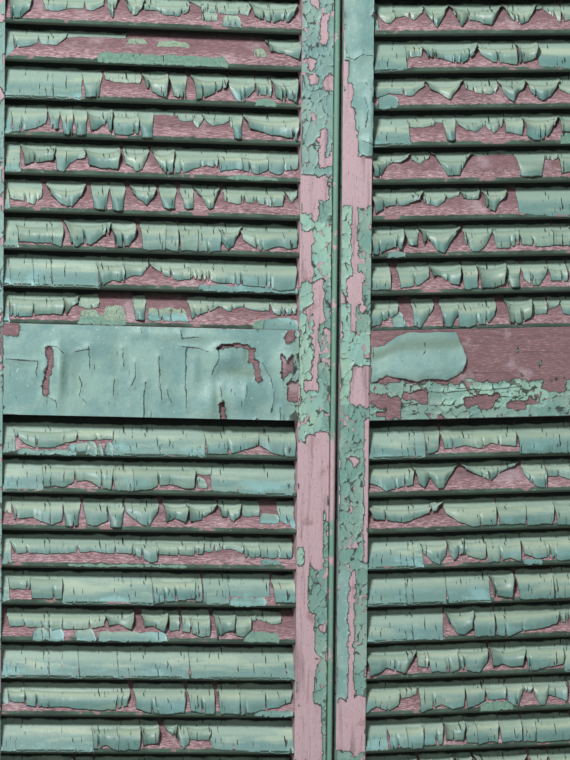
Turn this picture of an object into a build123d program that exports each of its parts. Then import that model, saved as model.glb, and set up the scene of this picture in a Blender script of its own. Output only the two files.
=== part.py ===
from build123d import *
import os
from math import cos, radians, sin, tan

# A pair of louvred shutter leaves in the wooden frame that carries them.
# X runs to the right as seen from outside, Y runs inwards and Z runs up.
# The origin is in the middle of the four fixing holes, on the back face of the frame.
# Sizes are in millimetres and angles in degrees.

# Leaves: stiles, rails and the openings between them, from the top down
stile_width = 52.0
slat_opening_width = 400.0
leaf_thickness = 42.0
top_rail_height = 90.0
upper_opening_height = 452.0
mid_rail_height = 122.0
lower_opening_height = 510.0
bottom_rail_height = 130.0
arris = 1.0

# Racking of the old joints: how far rails and slats slope down to the right of each leaf
left_rack = 1.25
right_rack = -1.4

# Mortise and tenon joints of the leaves
tenon_thickness = 12.0
tenon_length = 32.0
tenon_shoulder = 12.0
mortise_end_gap = 2.0
mortise_clearance = 0.1

# Slats: the lower edge leans outwards
slat_width = 62.0
slat_thickness = 8.0
slat_tilt = 30.0
slat_pitch = 50.0
slat_setback = 2.0
slat_nose_radius = 3.0
upper_slat_drop = 4.0
lower_slat_gap = 4.0
slat_trim_gap = 1.0
housing_depth = 8.0
housing_clearance = 0.15
housing_end_gap = 0.5

# Meeting stiles: the left leaf laps over the right one
lap = 6.0
meeting_gap_front = 5.0
meeting_gap_rear = 6.0
front_lip_thickness = 19.0
lip_clearance = 1.5
bead_width = 7.0
bead_radius = 3.3
quirk_width = 2.0
quirk_depth = 3.5

# Frame: head, sill and jambs with a stop lip behind the leaves
leaf_clearance = 3.0
stop_clearance = 1.0
stop_thickness = 20.0
stop_lip = 12.0
jamb_face = 48.0
head_face = 48.0
sill_face = 48.0
sill_slope = 5.0
frame_tenon_width = 32.0
frame_tenon_thickness = 16.0
frame_tenon_length = 30.0

# Fixing holes through the jambs
fixing_spacing_z = 960.0
fixing_radius = 3.5
fixing_head_radius = 7.0

# Lift-off butt hinges: the frame carries the lower knuckle and the pin
hinge_inset = 170.0
plate_height = 90.0
plate_reach = 30.0
plate_thickness = 2.5
plate_gap = 0.6
plate_fit = 0.1
pin_proud = 6.0
pin_radius = 2.5
pin_bore_clearance = 0.05
pin_end_gap = 1.0
knuckle_radius = 5.5
knuckle_gap = 0.4

# Flat bar bolts on the back of the left meeting stile
bolt_plate_width = 26.0
bolt_plate_length = 108.0
bolt_plate_thickness = 4.0
bolt_stop_gap = 3.0
bar_width = 12.0
bar_thickness = 5.0
bar_length = 112.0
bar_clearance = 0.2
bar_tip_gap = 1.5
bar_tip_chamfer = 1.5
bar_travel = 18.0
staple_wall = 2.5
staple_height = 10.0
staple_inset = 4.0
staple_chamfer = 1.5
knob_from_tip = 62.0
knob_stem_radius = 3.0
knob_stem_length = 5.0
knob_head_radius = 5.4
knob_head_length = 4.0
knob_sides = 8

# Strike plates let into the stop lips for the bolts
strike_width = 34.0
strike_depth = 18.0
strike_thickness = 1.5
bolt_hole_clearance = 0.6
bolt_hole_extra_depth = 4.0

# Places across the pair
leaf_width = 2 * stile_width + slat_opening_width
pair_width = 2 * leaf_width - lap
left_edge = -pair_width / 2
right_edge = pair_width / 2
left_meeting_edge = left_edge + leaf_width
right_meeting_edge = right_edge - leaf_width
left_lip_width = lap + meeting_gap_rear
right_lip_width = lap + meeting_gap_front
left_opening_start = left_edge + stile_width
right_opening_start = right_meeting_edge + stile_width

# Places from front to back
frame_depth = leaf_thickness + stop_clearance + stop_thickness
leaf_front = -frame_depth
leaf_back = leaf_front + leaf_thickness
leaf_middle = (leaf_front + leaf_back) / 2
stop_front = -stop_thickness

# Heights
leaf_height = (
    top_rail_height
    + upper_opening_height
    + mid_rail_height
    + lower_opening_height
    + bottom_rail_height
)
leaf_bottom = -leaf_height / 2
leaf_top = leaf_height / 2
lower_opening_bottom = leaf_bottom + bottom_rail_height
lower_opening_top = lower_opening_bottom + lower_opening_height
upper_opening_bottom = lower_opening_top + mid_rail_height
upper_opening_top = upper_opening_bottom + upper_opening_height

# Rails as pairs of bottom and top
rails = {
    "top_rail": (upper_opening_top, leaf_top),
    "mid_rail": (lower_opening_top, upper_opening_bottom),
    "bottom_rail": (leaf_bottom, lower_opening_bottom),
}

# Slats: height and depth that the leaning section takes up, and where each one starts
slat_rise = slat_width * cos(radians(slat_tilt)) + slat_thickness * sin(radians(slat_tilt))
slat_run = slat_width * sin(radians(slat_tilt)) + slat_thickness * cos(radians(slat_tilt))
slat_y = leaf_front + slat_setback + slat_run / 2
slat_tongue = housing_depth - housing_end_gap
upper_slat_count = int(upper_opening_height // slat_pitch)
lower_slat_count = int(lower_opening_height // slat_pitch)
upper_first = upper_opening_bottom - upper_slat_drop
lower_first = lower_opening_bottom + lower_slat_gap
upper_starts = [upper_first + slat_pitch * n for n in range(upper_slat_count)]
lower_starts = [lower_first + slat_pitch * n for n in range(lower_slat_count)]
slat_openings = [
    (upper_opening_bottom, upper_opening_top, upper_starts),
    (lower_opening_bottom, lower_opening_top, lower_starts),
]

# Frame
rebate_x = right_edge + leaf_clearance
stop_x = rebate_x - stop_lip
outer_x = rebate_x + jamb_face
jamb_middle = rebate_x + jamb_face / 2
rebate_top = leaf_top + leaf_clearance
stop_top = rebate_top - stop_lip
outer_top = rebate_top + head_face
rebate_bottom = leaf_bottom - leaf_clearance
stop_bottom = rebate_bottom + stop_lip
outer_bottom = rebate_bottom - sill_face
sill_fall = (leaf_thickness + stop_clearance) * tan(radians(sill_slope))

# Hinges
hinge_x = right_edge + leaf_clearance / 2
hinge_y = leaf_front - pin_proud
hinge_heights = [leaf_bottom + hinge_inset, leaf_top - hinge_inset]
knuckle_height = plate_height / 2 - knuckle_gap / 2
plate_start = plate_gap / 2
plate_end = plate_start + plate_thickness
plate_recess = plate_end - leaf_clearance / 2
pin_bore_radius = pin_radius + pin_bore_clearance

# Bolts
bolt_x = (left_meeting_edge - left_lip_width + left_meeting_edge - stile_width) / 2
bar_front = leaf_back + bolt_plate_thickness + bar_clearance
bar_y = bar_front + bar_thickness / 2
staple_back = bar_front + bar_thickness + bar_clearance + staple_wall
staple_width = bar_width + 2 * bar_clearance + 2 * staple_wall
bolt_hole_width = bar_width + 2 * bolt_hole_clearance
bolt_hole_thickness = bar_thickness + 2 * bolt_hole_clearance
bolt_hole_depth = bar_travel - bar_tip_gap + bolt_hole_extra_depth
strike_y = stop_front + stop_thickness / 2

os.makedirs("parts", exist_ok=True)


def save(piece, name):
    piece.label = name
    export_step(piece, f"parts/{name}.step")


def rack_slope(rack):
    """Rise for each millimetre to the left on a leaf with this racking."""
    return tan(radians(rack))


def along(rack, sense):
    """Direction of the rails and slats of a racked leaf, to the right for a sense of 1."""
    return (sense, 0, -sense * rack_slope(rack))


def slat_housings(face_x, lift):
    """Slanted slots for the slat ends, one sketch for each opening of a leaf."""
    sketches = []
    for low, high, starts in slat_openings:
        with BuildSketch(Plane.YZ.offset(face_x)) as slots:
            with Locations(*[(slat_y, start + lift + slat_rise / 2) for start in starts]):
                Rectangle(
                    slat_thickness + 2 * housing_clearance,
                    slat_width + 2 * housing_clearance,
                    rotation=-slat_tilt,
                )
            with Locations((leaf_middle, (low + high) / 2 + lift)):
                Rectangle(leaf_thickness, high - low, mode=Mode.INTERSECT)
        sketches.append(slots.sketch)
    return sketches


def tenon_outline(face_x, low, high, lift, clearance):
    """Section of a rail's tenon, or of its mortise when there is a clearance."""
    with BuildSketch(Plane.YZ.offset(face_x)) as outline:
        with Locations((leaf_middle, (low + high) / 2 + lift)):
            Rectangle(
                tenon_thickness + 2 * clearance,
                high - low - 2 * tenon_shoulder + 2 * clearance,
            )
    return outline.sketch


def stile(section, inner_x, outward, rack):
    """A stile of a given plan section, with mortises and slat housings in its inner edge."""
    lift = -outward * rack_slope(rack) * slat_opening_width / 2
    slant = cos(radians(rack))
    mortise_depth = (tenon_length + mortise_end_gap) / slant
    housings = slat_housings(inner_x, lift)
    mortises = [
        tenon_outline(inner_x, low, high, lift, mortise_clearance) for low, high in rails.values()
    ]
    with BuildPart() as body:
        extrude(section, amount=leaf_height)
        for mortise in mortises:
            extrude(mortise, amount=mortise_depth, dir=along(rack, outward), mode=Mode.SUBTRACT)
        for slots in housings:
            extrude(
                slots,
                amount=housing_depth / slant,
                dir=along(rack, outward),
                mode=Mode.SUBTRACT,
            )
    return body


def hinge_stile_section(edge_x, inward):
    """Plan of a hinge stile, a plain bar with its front arrises taken off."""
    with BuildSketch(Plane.XY.offset(leaf_bottom)) as section:
        with Locations((edge_x + inward * stile_width / 2, leaf_middle)):
            Rectangle(stile_width, leaf_thickness)
        chamfer(section.vertices().group_by(Axis.Y)[0], arris)
    return section.sketch


def cut_plate_recesses(body, edge_x):
    """The same stile with a shallow recess in its outer edge for each hinge plate."""
    with BuildPart() as cut_body:
        add(body.part)
        for height in hinge_heights:
            with BuildSketch(Plane.XY.offset(height - plate_height / 2 - plate_fit)):
                with Locations((edge_x, leaf_front)):
                    Rectangle(2 * plate_recess, 2 * (plate_reach + plate_fit))
            extrude(amount=plate_height + 2 * plate_fit, mode=Mode.SUBTRACT)
    return cut_body


# Left hinge stile
left_hinge_section = hinge_stile_section(left_edge, 1)
left_hinge_stile = cut_plate_recesses(
    stile(left_hinge_section, left_opening_start, -1, left_rack), left_edge
)
save(left_hinge_stile.part, "left_hinge_stile")

# Right hinge stile
right_hinge_section = hinge_stile_section(right_edge, -1)
right_hinge_stile = cut_plate_recesses(
    stile(right_hinge_section, right_edge - stile_width, 1, right_rack), right_edge
)
save(right_hinge_stile.part, "right_hinge_stile")

# Left meeting stile: front lip over the other leaf, with a bead and its quirk on the edge
left_meeting_inner = left_meeting_edge - stile_width
with BuildSketch(Plane.XY.offset(leaf_bottom)) as left_meeting_section:
    with BuildLine():
        Polyline(
            (left_meeting_inner, leaf_front),
            (left_meeting_edge, leaf_front),
            (left_meeting_edge, leaf_front + front_lip_thickness),
            (left_meeting_edge - left_lip_width, leaf_front + front_lip_thickness),
            (left_meeting_edge - left_lip_width, leaf_back),
            (left_meeting_inner, leaf_back),
            close=True,
        )
    make_face()
    with Locations((left_meeting_edge - bead_width - quirk_width / 2, leaf_front)):
        Rectangle(quirk_width, 2 * quirk_depth, mode=Mode.SUBTRACT)
    front_corners = left_meeting_section.vertices().group_by(Axis.Y)[0].sort_by(Axis.X)
    fillet(front_corners[-2:], bead_radius)
    chamfer(left_meeting_section.vertices().group_by(Axis.Y)[0].sort_by(Axis.X)[0], arris)
left_meeting_stile = stile(left_meeting_section.sketch, left_meeting_inner, 1, left_rack)
save(left_meeting_stile.part, "left_meeting_stile")

# Right meeting stile: rear lip behind the other leaf's front lip
right_front_edge = right_meeting_edge + right_lip_width
with BuildSketch(Plane.XY.offset(leaf_bottom)) as right_meeting_section:
    with BuildLine():
        Polyline(
            (right_front_edge, leaf_front),
            (right_opening_start, leaf_front),
            (right_opening_start, leaf_back),
            (right_meeting_edge, leaf_back),
            (right_meeting_edge, leaf_front + front_lip_thickness + lip_clearance),
            (right_front_edge, leaf_front + front_lip_thickness + lip_clearance),
            close=True,
        )
    make_face()
    chamfer(right_meeting_section.vertices().group_by(Axis.Y)[0], arris)
right_meeting_stile = stile(right_meeting_section.sketch, right_opening_start, -1, right_rack)
save(right_meeting_stile.part, "right_meeting_stile")


def rail(low, high, start_x, rack):
    """A rail between the stiles, level only on an outer edge of the leaf, with its two tenons."""
    end_x = start_x + slat_opening_width
    lift = rack_slope(rack) * slat_opening_width / 2
    low_lift = 0.0 if low == leaf_bottom else lift
    high_lift = 0.0 if high == leaf_top else lift
    tenon_start = start_x - tenon_length
    tenon_lift = lift + rack_slope(rack) * tenon_length
    tenon = tenon_outline(tenon_start, low, high, tenon_lift, 0.0)
    tenon_span = (slat_opening_width + 2 * tenon_length) / cos(radians(rack))
    with BuildPart() as body:
        with BuildSketch(Plane.XZ.offset(-leaf_back)):
            with BuildLine():
                Polyline(
                    (start_x, low + low_lift),
                    (end_x, low - low_lift),
                    (end_x, high - high_lift),
                    (start_x, high + high_lift),
                    close=True,
                )
            make_face()
        extrude(amount=leaf_thickness)
        chamfer(body.faces().sort_by(Axis.Y)[0].edges(), arris)
        extrude(tenon, amount=tenon_span, dir=along(rack, 1))
    return body


def slat(start_z, low, high, start_x, rack):
    """One leaning slat with a rounded nose, trimmed clear of the rails."""
    end_x = start_x - slat_tongue
    lift = rack_slope(rack) * (slat_opening_width / 2 + slat_tongue)
    span = (slat_opening_width + 2 * slat_tongue) / cos(radians(rack))
    with BuildSketch(Plane.YZ.offset(end_x)) as section:
        with Locations((slat_y, start_z + lift + slat_rise / 2)):
            Rectangle(slat_thickness, slat_width, rotation=-slat_tilt)
        fillet(section.vertices().sort_by(Axis.Y)[:2], slat_nose_radius)
        with Locations((leaf_middle, (low + high) / 2 + lift)):
            Rectangle(leaf_thickness, high - low - 2 * slat_trim_gap, mode=Mode.INTERSECT)
    with BuildPart() as body:
        extrude(section.sketch, amount=span, dir=along(rack, 1))
    return body


# Rails and slats of both leaves, the slats numbered from the top down
leaves = (
    ("left", left_opening_start, left_rack),
    ("right", right_opening_start, right_rack),
)
for side, opening_start, leaf_rack in leaves:
    for rail_name, (rail_bottom, rail_top) in rails.items():
        leaf_rail = rail(rail_bottom, rail_top, opening_start, leaf_rack)
        save(leaf_rail.part, f"{side}_{rail_name}")
    slat_number = 0
    for opening_bottom, opening_top, slat_starts in slat_openings:
        for slat_start in reversed(slat_starts):
            slat_number += 1
            leaf_slat = slat(slat_start, opening_bottom, opening_top, opening_start, leaf_rack)
            save(leaf_slat.part, f"{side}_slat_{slat_number:02d}")


def jamb(side):
    """One jamb: a face beside the leaf, a stop lip behind it and a tenon at each end."""
    with BuildPart() as body:
        with BuildSketch(Plane.XY.offset(rebate_bottom)):
            with Locations((side * jamb_middle, (leaf_front + stop_front) / 2)):
                Rectangle(jamb_face, leaf_thickness + stop_clearance)
        extrude(amount=rebate_top - rebate_bottom)
        chamfer(body.faces().sort_by(Axis.Y)[0].edges().filter_by(Axis.Z), arris)
        with BuildSketch(Plane.XY.offset(stop_bottom)):
            with Locations((side * (stop_x + outer_x) / 2, stop_front / 2)):
                Rectangle(outer_x - stop_x, stop_thickness)
        extrude(amount=stop_top - stop_bottom)
        with BuildSketch(Plane.XY.offset(rebate_bottom - frame_tenon_length)):
            with Locations((side * jamb_middle, (leaf_front + stop_front) / 2)):
                Rectangle(frame_tenon_width, frame_tenon_thickness)
        extrude(amount=rebate_top - rebate_bottom + 2 * frame_tenon_length)
        for height in hinge_heights:
            with BuildSketch(Plane.XY.offset(height - plate_height / 2 - plate_fit)):
                with Locations((side * rebate_x, leaf_front)):
                    Rectangle(2 * plate_recess, 2 * (plate_reach + plate_fit))
            extrude(amount=plate_height + 2 * plate_fit, mode=Mode.SUBTRACT)
        for height in (-fixing_spacing_z / 2, fixing_spacing_z / 2):
            with Locations(Plane((side * jamb_middle, leaf_front, height), z_dir=(0, -1, 0))):
                CounterSinkHole(fixing_radius, fixing_head_radius, counter_sink_angle=90)
    return body


frame_jamb_left = jamb(-1)
save(frame_jamb_left.part, "frame_jamb_left")
frame_jamb_right = jamb(1)
save(frame_jamb_right.part, "frame_jamb_right")


def cross_member(rebate_z, stop_z, outer_z, away):
    """Head or sill: a face beyond the leaves, a stop lip, two mortises and a bolt hole."""
    with BuildPart() as body:
        with BuildSketch(Plane.YZ.offset(-outer_x)):
            with Locations(((leaf_front + stop_front) / 2, (rebate_z + outer_z) / 2)):
                Rectangle(leaf_thickness + stop_clearance, abs(outer_z - rebate_z))
            with Locations((stop_front / 2, (stop_z + outer_z) / 2)):
                Rectangle(stop_thickness, abs(outer_z - stop_z))
        extrude(amount=2 * outer_x)
        chamfer(body.faces().sort_by(Axis.Y)[0].edges().filter_by(Axis.X), arris)
        with BuildSketch(Plane.XY.offset(rebate_z)):
            with Locations(
                (-jamb_middle, (leaf_front + stop_front) / 2),
                (jamb_middle, (leaf_front + stop_front) / 2),
            ):
                Rectangle(
                    frame_tenon_width + 2 * mortise_clearance,
                    frame_tenon_thickness + 2 * mortise_clearance,
                )
        extrude(amount=away * (frame_tenon_length + mortise_end_gap), mode=Mode.SUBTRACT)
        with BuildSketch(Plane.XY.offset(stop_z)):
            with Locations((bolt_x, strike_y)):
                Rectangle(strike_width + 2 * plate_fit, strike_depth + 2 * plate_fit)
        extrude(amount=away * strike_thickness, mode=Mode.SUBTRACT)
        with BuildSketch(Plane.XY.offset(stop_z)):
            with Locations((bolt_x, bar_y)):
                Rectangle(bolt_hole_width, bolt_hole_thickness)
        extrude(amount=away * bolt_hole_depth, mode=Mode.SUBTRACT)
    return body


frame_head = cross_member(rebate_top, stop_top, outer_top, 1)
save(frame_head.part, "frame_head")

# Sill: like the head, with its top weathered to the front between the jambs
plain_sill = cross_member(rebate_bottom, stop_bottom, outer_bottom, -1)
with BuildPart() as frame_sill:
    add(plain_sill.part)
    with BuildSketch(Plane.YZ.offset(-rebate_x)):
        with BuildLine():
            Polyline(
                (stop_front, rebate_bottom),
                (leaf_front, rebate_bottom),
                (leaf_front, rebate_bottom - sill_fall),
                close=True,
            )
        make_face()
    extrude(amount=2 * rebate_x, mode=Mode.SUBTRACT)
save(frame_sill.part, "frame_sill")

# Strike plates in the stop lips of head and sill
with BuildPart() as strike_plates:
    for strike_z, strike_side in ((stop_top, 1), (stop_bottom, -1)):
        with BuildSketch(Plane.XY.offset(strike_z)):
            with Locations((bolt_x, strike_y)):
                Rectangle(strike_width, strike_depth)
            with Locations((bolt_x, bar_y)):
                Rectangle(bolt_hole_width, bolt_hole_thickness, mode=Mode.SUBTRACT)
        extrude(amount=strike_side * strike_thickness)
save(strike_plates.part, "strike_plates")


def hinge_plates(side, towards, knuckle_from):
    """The plates of one row of hinges, each with a knuckle that starts at a given height."""
    plate_x = side * hinge_x + towards * (plate_start + plate_end) / 2
    with BuildPart() as body:
        for height in hinge_heights:
            bottom = height - plate_height / 2
            with BuildSketch(Plane.XY.offset(bottom)):
                with Locations((plate_x, leaf_front + plate_reach / 2)):
                    Rectangle(plate_thickness, plate_reach)
            extrude(amount=plate_height)
            with BuildSketch(Plane.XY.offset(bottom + knuckle_from)):
                with Locations((plate_x, (hinge_y + leaf_front) / 2)):
                    Rectangle(plate_thickness, leaf_front - hinge_y)
                with Locations((side * hinge_x, hinge_y)):
                    Circle(knuckle_radius)
                    Circle(pin_bore_radius, mode=Mode.SUBTRACT)
            extrude(amount=knuckle_height)
    return body


upper_knuckle = plate_height - knuckle_height
left_hinge_plates = hinge_plates(-1, 1, upper_knuckle)
save(left_hinge_plates.part, "left_hinge_plates")
right_hinge_plates = hinge_plates(1, -1, upper_knuckle)
save(right_hinge_plates.part, "right_hinge_plates")
frame_plates_left = hinge_plates(-1, -1, 0.0)
frame_plates_right = hinge_plates(1, 1, 0.0)
with BuildPart() as frame_hinge_plates:
    add(frame_plates_left.part)
    add(frame_plates_right.part)
save(frame_hinge_plates.part, "frame_hinge_plates")

# Hinge pins, fixed in the lower knuckles
with BuildPart() as hinge_pins:
    for hinge_height in hinge_heights:
        with BuildSketch(Plane.XY.offset(hinge_height - plate_height / 2)):
            with Locations((-hinge_x, hinge_y), (hinge_x, hinge_y)):
                Circle(pin_radius)
        extrude(amount=plate_height - pin_end_gap)
save(hinge_pins.part, "hinge_pins")


def bolt_case(end_z, back):
    """Plate and two staples of a bolt; back is -1 under the head and 1 over the sill."""
    plate_middle = end_z + back * (bolt_stop_gap + bolt_plate_length / 2)
    staple_offset = bolt_plate_length / 2 - staple_inset - staple_height / 2
    with BuildPart() as body:
        with BuildSketch(Plane.XY.offset(plate_middle - bolt_plate_length / 2)):
            with Locations((bolt_x, leaf_back + bolt_plate_thickness / 2)):
                Rectangle(bolt_plate_width, bolt_plate_thickness)
        extrude(amount=bolt_plate_length)
        for offset_z in (-staple_offset, staple_offset):
            staple_bottom = plate_middle + offset_z - staple_height / 2
            with BuildSketch(Plane.XY.offset(staple_bottom)) as staple:
                with Locations((bolt_x, (leaf_back + staple_back) / 2)):
                    Rectangle(staple_width, staple_back - leaf_back)
                chamfer(staple.vertices().group_by(Axis.Y)[-1], staple_chamfer)
                with Locations((bolt_x, bar_y)):
                    Rectangle(
                        bar_width + 2 * bar_clearance,
                        bar_thickness + 2 * bar_clearance,
                        mode=Mode.SUBTRACT,
                    )
            extrude(amount=staple_height)
    return body


top_case = bolt_case(stop_top, -1)
bottom_case = bolt_case(stop_bottom, 1)
with BuildPart() as bolt_cases:
    add(top_case.part)
    add(bottom_case.part)
save(bolt_cases.part, "bolt_cases")


def bolt_bar(end_z, back):
    """Sliding bar of a bolt, drawn back, with its forged, eight-sided knob."""
    tip_z = end_z + back * bar_tip_gap
    middle_z = tip_z + back * bar_length / 2
    knob_z = tip_z + back * knob_from_tip
    with BuildPart() as body:
        with BuildSketch(Plane.XY.offset(middle_z - bar_length / 2)):
            with Locations((bolt_x, bar_y)):
                Rectangle(bar_width, bar_thickness)
        extrude(amount=bar_length)
        tip_face = body.faces().filter_by(Axis.Z).sort_by(Axis.Z)[0 if back == 1 else -1]
        chamfer(tip_face.edges().filter_by(Axis.Y), bar_tip_chamfer)
        knob_steps = (
            (0.0, knob_stem_length, knob_stem_radius),
            (knob_stem_length, knob_head_length, knob_head_radius),
        )
        for start, length, radius in knob_steps:
            with BuildSketch(Plane.XZ.offset(-bar_front - bar_thickness - start)):
                with Locations((bolt_x, knob_z)):
                    RegularPolygon(radius, knob_sides)
            extrude(amount=-length)
    return body


top_bolt_rod = bolt_bar(stop_top, -1)
save(top_bolt_rod.part, "top_bolt_rod")
bottom_bolt_rod = bolt_bar(stop_bottom, 1)
save(bottom_bolt_rod.part, "bottom_bolt_rod")
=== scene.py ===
"""Weathered wood, peeling paint and ironwork for a pair of louvred shutters in their frame."""
import math
import random

import bpy
import numpy as np
from bpy.props import FloatProperty, FloatVectorProperty, PointerProperty
from mathutils import Matrix, Vector


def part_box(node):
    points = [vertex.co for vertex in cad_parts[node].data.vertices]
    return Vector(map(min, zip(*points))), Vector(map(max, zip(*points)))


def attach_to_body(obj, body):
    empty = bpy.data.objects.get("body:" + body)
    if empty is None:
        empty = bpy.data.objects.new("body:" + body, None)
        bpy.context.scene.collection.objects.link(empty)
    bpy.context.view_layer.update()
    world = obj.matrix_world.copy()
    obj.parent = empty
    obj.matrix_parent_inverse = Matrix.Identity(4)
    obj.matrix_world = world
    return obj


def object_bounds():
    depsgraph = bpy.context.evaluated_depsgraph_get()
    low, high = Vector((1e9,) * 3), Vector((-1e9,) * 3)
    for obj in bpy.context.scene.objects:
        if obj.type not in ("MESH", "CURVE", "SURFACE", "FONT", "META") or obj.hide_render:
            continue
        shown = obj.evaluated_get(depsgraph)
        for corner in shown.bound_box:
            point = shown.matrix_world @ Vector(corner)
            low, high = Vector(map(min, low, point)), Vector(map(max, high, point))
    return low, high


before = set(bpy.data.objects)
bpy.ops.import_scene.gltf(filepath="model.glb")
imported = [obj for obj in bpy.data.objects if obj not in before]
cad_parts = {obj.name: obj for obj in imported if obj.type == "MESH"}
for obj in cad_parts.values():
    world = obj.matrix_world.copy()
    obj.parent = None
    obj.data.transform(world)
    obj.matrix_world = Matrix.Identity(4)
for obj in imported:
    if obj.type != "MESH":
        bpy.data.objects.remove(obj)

bl_info = {
    "name": "Louvred Shutters with Peeling Paint",
    "version": (1, 0, 0),
    "blender": (4, 5, 0),
    "location": "View3D > Sidebar > Shutters",
    "description": "Dresses a pair of louvred shutters in old paint, bare wood and iron",
    "category": "Object",
}

MM = 0.001
CAD_BOX = [list(corner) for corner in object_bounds()]

# How a slat lies in the front view. A drop is the height below the dark gap over the slat.
SLAT_TILT = math.radians(30)
SLAT_SIN = math.sin(SLAT_TILT)
SLAT_COS = math.cos(SLAT_TILT)
SLAT_TAN = math.tan(SLAT_TILT)
NOSE_RADIUS = 3.0
NOSE_Y = -61.0
NOSE_ROUNDING = NOSE_RADIUS * (SLAT_SIN + SLAT_COS - 1)
EDGE_HEIGHT = 4.0
CORNER_DROP = 41.3
ROUND_DROP = CORNER_DROP - NOSE_RADIUS * SLAT_COS
ROUND_SPAN = NOSE_RADIUS * (SLAT_SIN + SLAT_COS)
RECESS_DROP = -7.0
ATTACH_DROP = 10.0
WHOLE_SLAT = 41

# The drop over which the V of a flake's UV map goes from 0 to 1.
SLOPE_SPAN = 50

# Slats of a leaf from the top down, and the ones that the places of the others are taken from.
SLATS = 19
UPPER_SLATS = 9
UPPER_SLAT = 5
LOWER_SLAT = 15

# Flakes by form: how much painted shade darkens the torn tip, how far the ears rise and lift, in mm,
# and how much the sides curl in. Plates by form: coat, how far they lie off the wood and how far the
# rim rises.
# The widths are those of the flakes where nothing shows.
TIP_SHADES = {"f": 0.1, "s": 0.65, "c": 1.0, "t": 0.8, "v": 1.0}
EAR_RISE = {"s": 0.25, "c": 0.75, "t": 0.45, "v": 0.8}
EAR_LIFT = {"s": 1.2, "c": 4.5, "t": 1.5, "v": 5.0}
CURLED_IN = {"t": 0.22, "c": 0.14, "v": 0.16, "s": 0.03}
PLATES = {"m": (1.0, 0.22, 0), "y": (0.5, 0.25, 0.1), "p": (0.0, 0.45, 0.7)}
SLAT_ROWS = 12
RECESS_ROWS = 3
LEAST_DROP = 3.0
WHOLE_DROP = 38
NOTCH_CHANCE = 0.06
SIDE_GAP = 0.2
LEAST_WIDTH = 8
USUAL_WIDTH = 18
WIDEST = 75
WIDEST_TUBE = 24
OPEN_STRETCH = 20
POINT_VALUES = ("coat", "tip", "fold", "tone", "edge")

# Paint on the boards, in mm: its cells, bulges, cracks and the two large sheets.
FRONT_Y = -63.0
BOARD_GAP = 0.3
BEAD_EDGE = -6.0
LIP_EDGE = 8.0
DEEPEST_LIFT = 10.5
COATS = {"bare": 0.0, "green": 0.0, "blue": 0.4, "smooth": 0.4, "mint": 1.0}
BARE_SHARE = 0.3
LOST_CELLS = 0.025
CELL_AREA = 1.4
CELL_STRETCH = 0.65
CELL_CUPS = (0.2, 0.35, 0.6, 1.2)
CELL_SPLITS = (0, 0, 0, 0, 0, 0, 0.6)
BULGE_HEIGHT = 1.8
HOLLOW_SHADE = 0.6
CRACK_LIFT = 1.4
CRACK_REACH = 5
SHEET_COLUMN = 2.4
SHEET_ROWS = 22
BULGE_FALLS = (0, 0.15, 0.36, 0.62, 0.8, 0.93, 1)
BULGE_LIFTS = (4.5, 4.2, 1.2, 6.5, 9, 7.5, 4)
POINTS_AT_ONCE = 2000
PAINT_SMOOTH = math.radians(40)

# Where the screws go, in mm: the hinge plates' faces, then the bolt and strike plates.
HINGE_FACE = 502.2
HINGE_GAP = 0.6
HINGE_HEIGHTS = (-482, 482)
HINGE_SCREWS = ((-43, -32), (-54, 0), (-43, 32))
BOLT_PLATE = 4.0
BOLT_PLATE_HALF = 54.0
BOLT_SCREWS = ((-9.6, -30), (-9.6, 30), (9.6, -30), (9.6, 30))
STRIKE_PLATE = 1.5
STRIKE_SCREWS = (-12, 12)

# Where a finish changes, in metres: depths on a slat (worn slope with painted highlight, recess in
# painted shade, nose), then heights and the side of the bead.
WORN_AND_HIGHLIT_SLOPE = (-0.045, -0.054)
RECESS_SHADE_DEPTHS = (-0.0385, -0.0325)
PAINTED_NOSE = (-0.0556, -0.0566)
BARE_FROM = (-0.160, -0.145)
BARE_TO = (-0.035, -0.048)
BEAD_SIDE = (-0.0062, -0.0058)

# The screw heads, in metres.
SMALL_SCREW_RADIUS = 0.0024
HINGE_SCREW_PROUD = 0.00012
BOLT_SCREW_PROUD = 0.0008
STRIKE_SCREW_PROUD = 0.0004
HEAD_DEPTH = 0.001
SLOT_DEPTH = 0.0007
SCREW_SMOOTH = math.radians(30)

# The stage, in metres. Lamps: name, place, width, power in watts.
FLOOR_SIZE = 160
FLOOR_GAP = 0.0005
LAMPS = (("Key", (-1.7, -3.35, 2.7), 0.65, 330), ("Fill", (2.6, -3.6, 0.6), 2.4, 8),
         ("Back", (1.2, 3.4, 0.1), 1.2, 30))
SKY_COLOUR = (0.93, 0.97, 1.0, 1)
SKY_STRENGTH = 0.12
VIEW_TARGET = (-0.0677, -0.063, 0.0386)
SENSOR_WIDTH = 36

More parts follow.
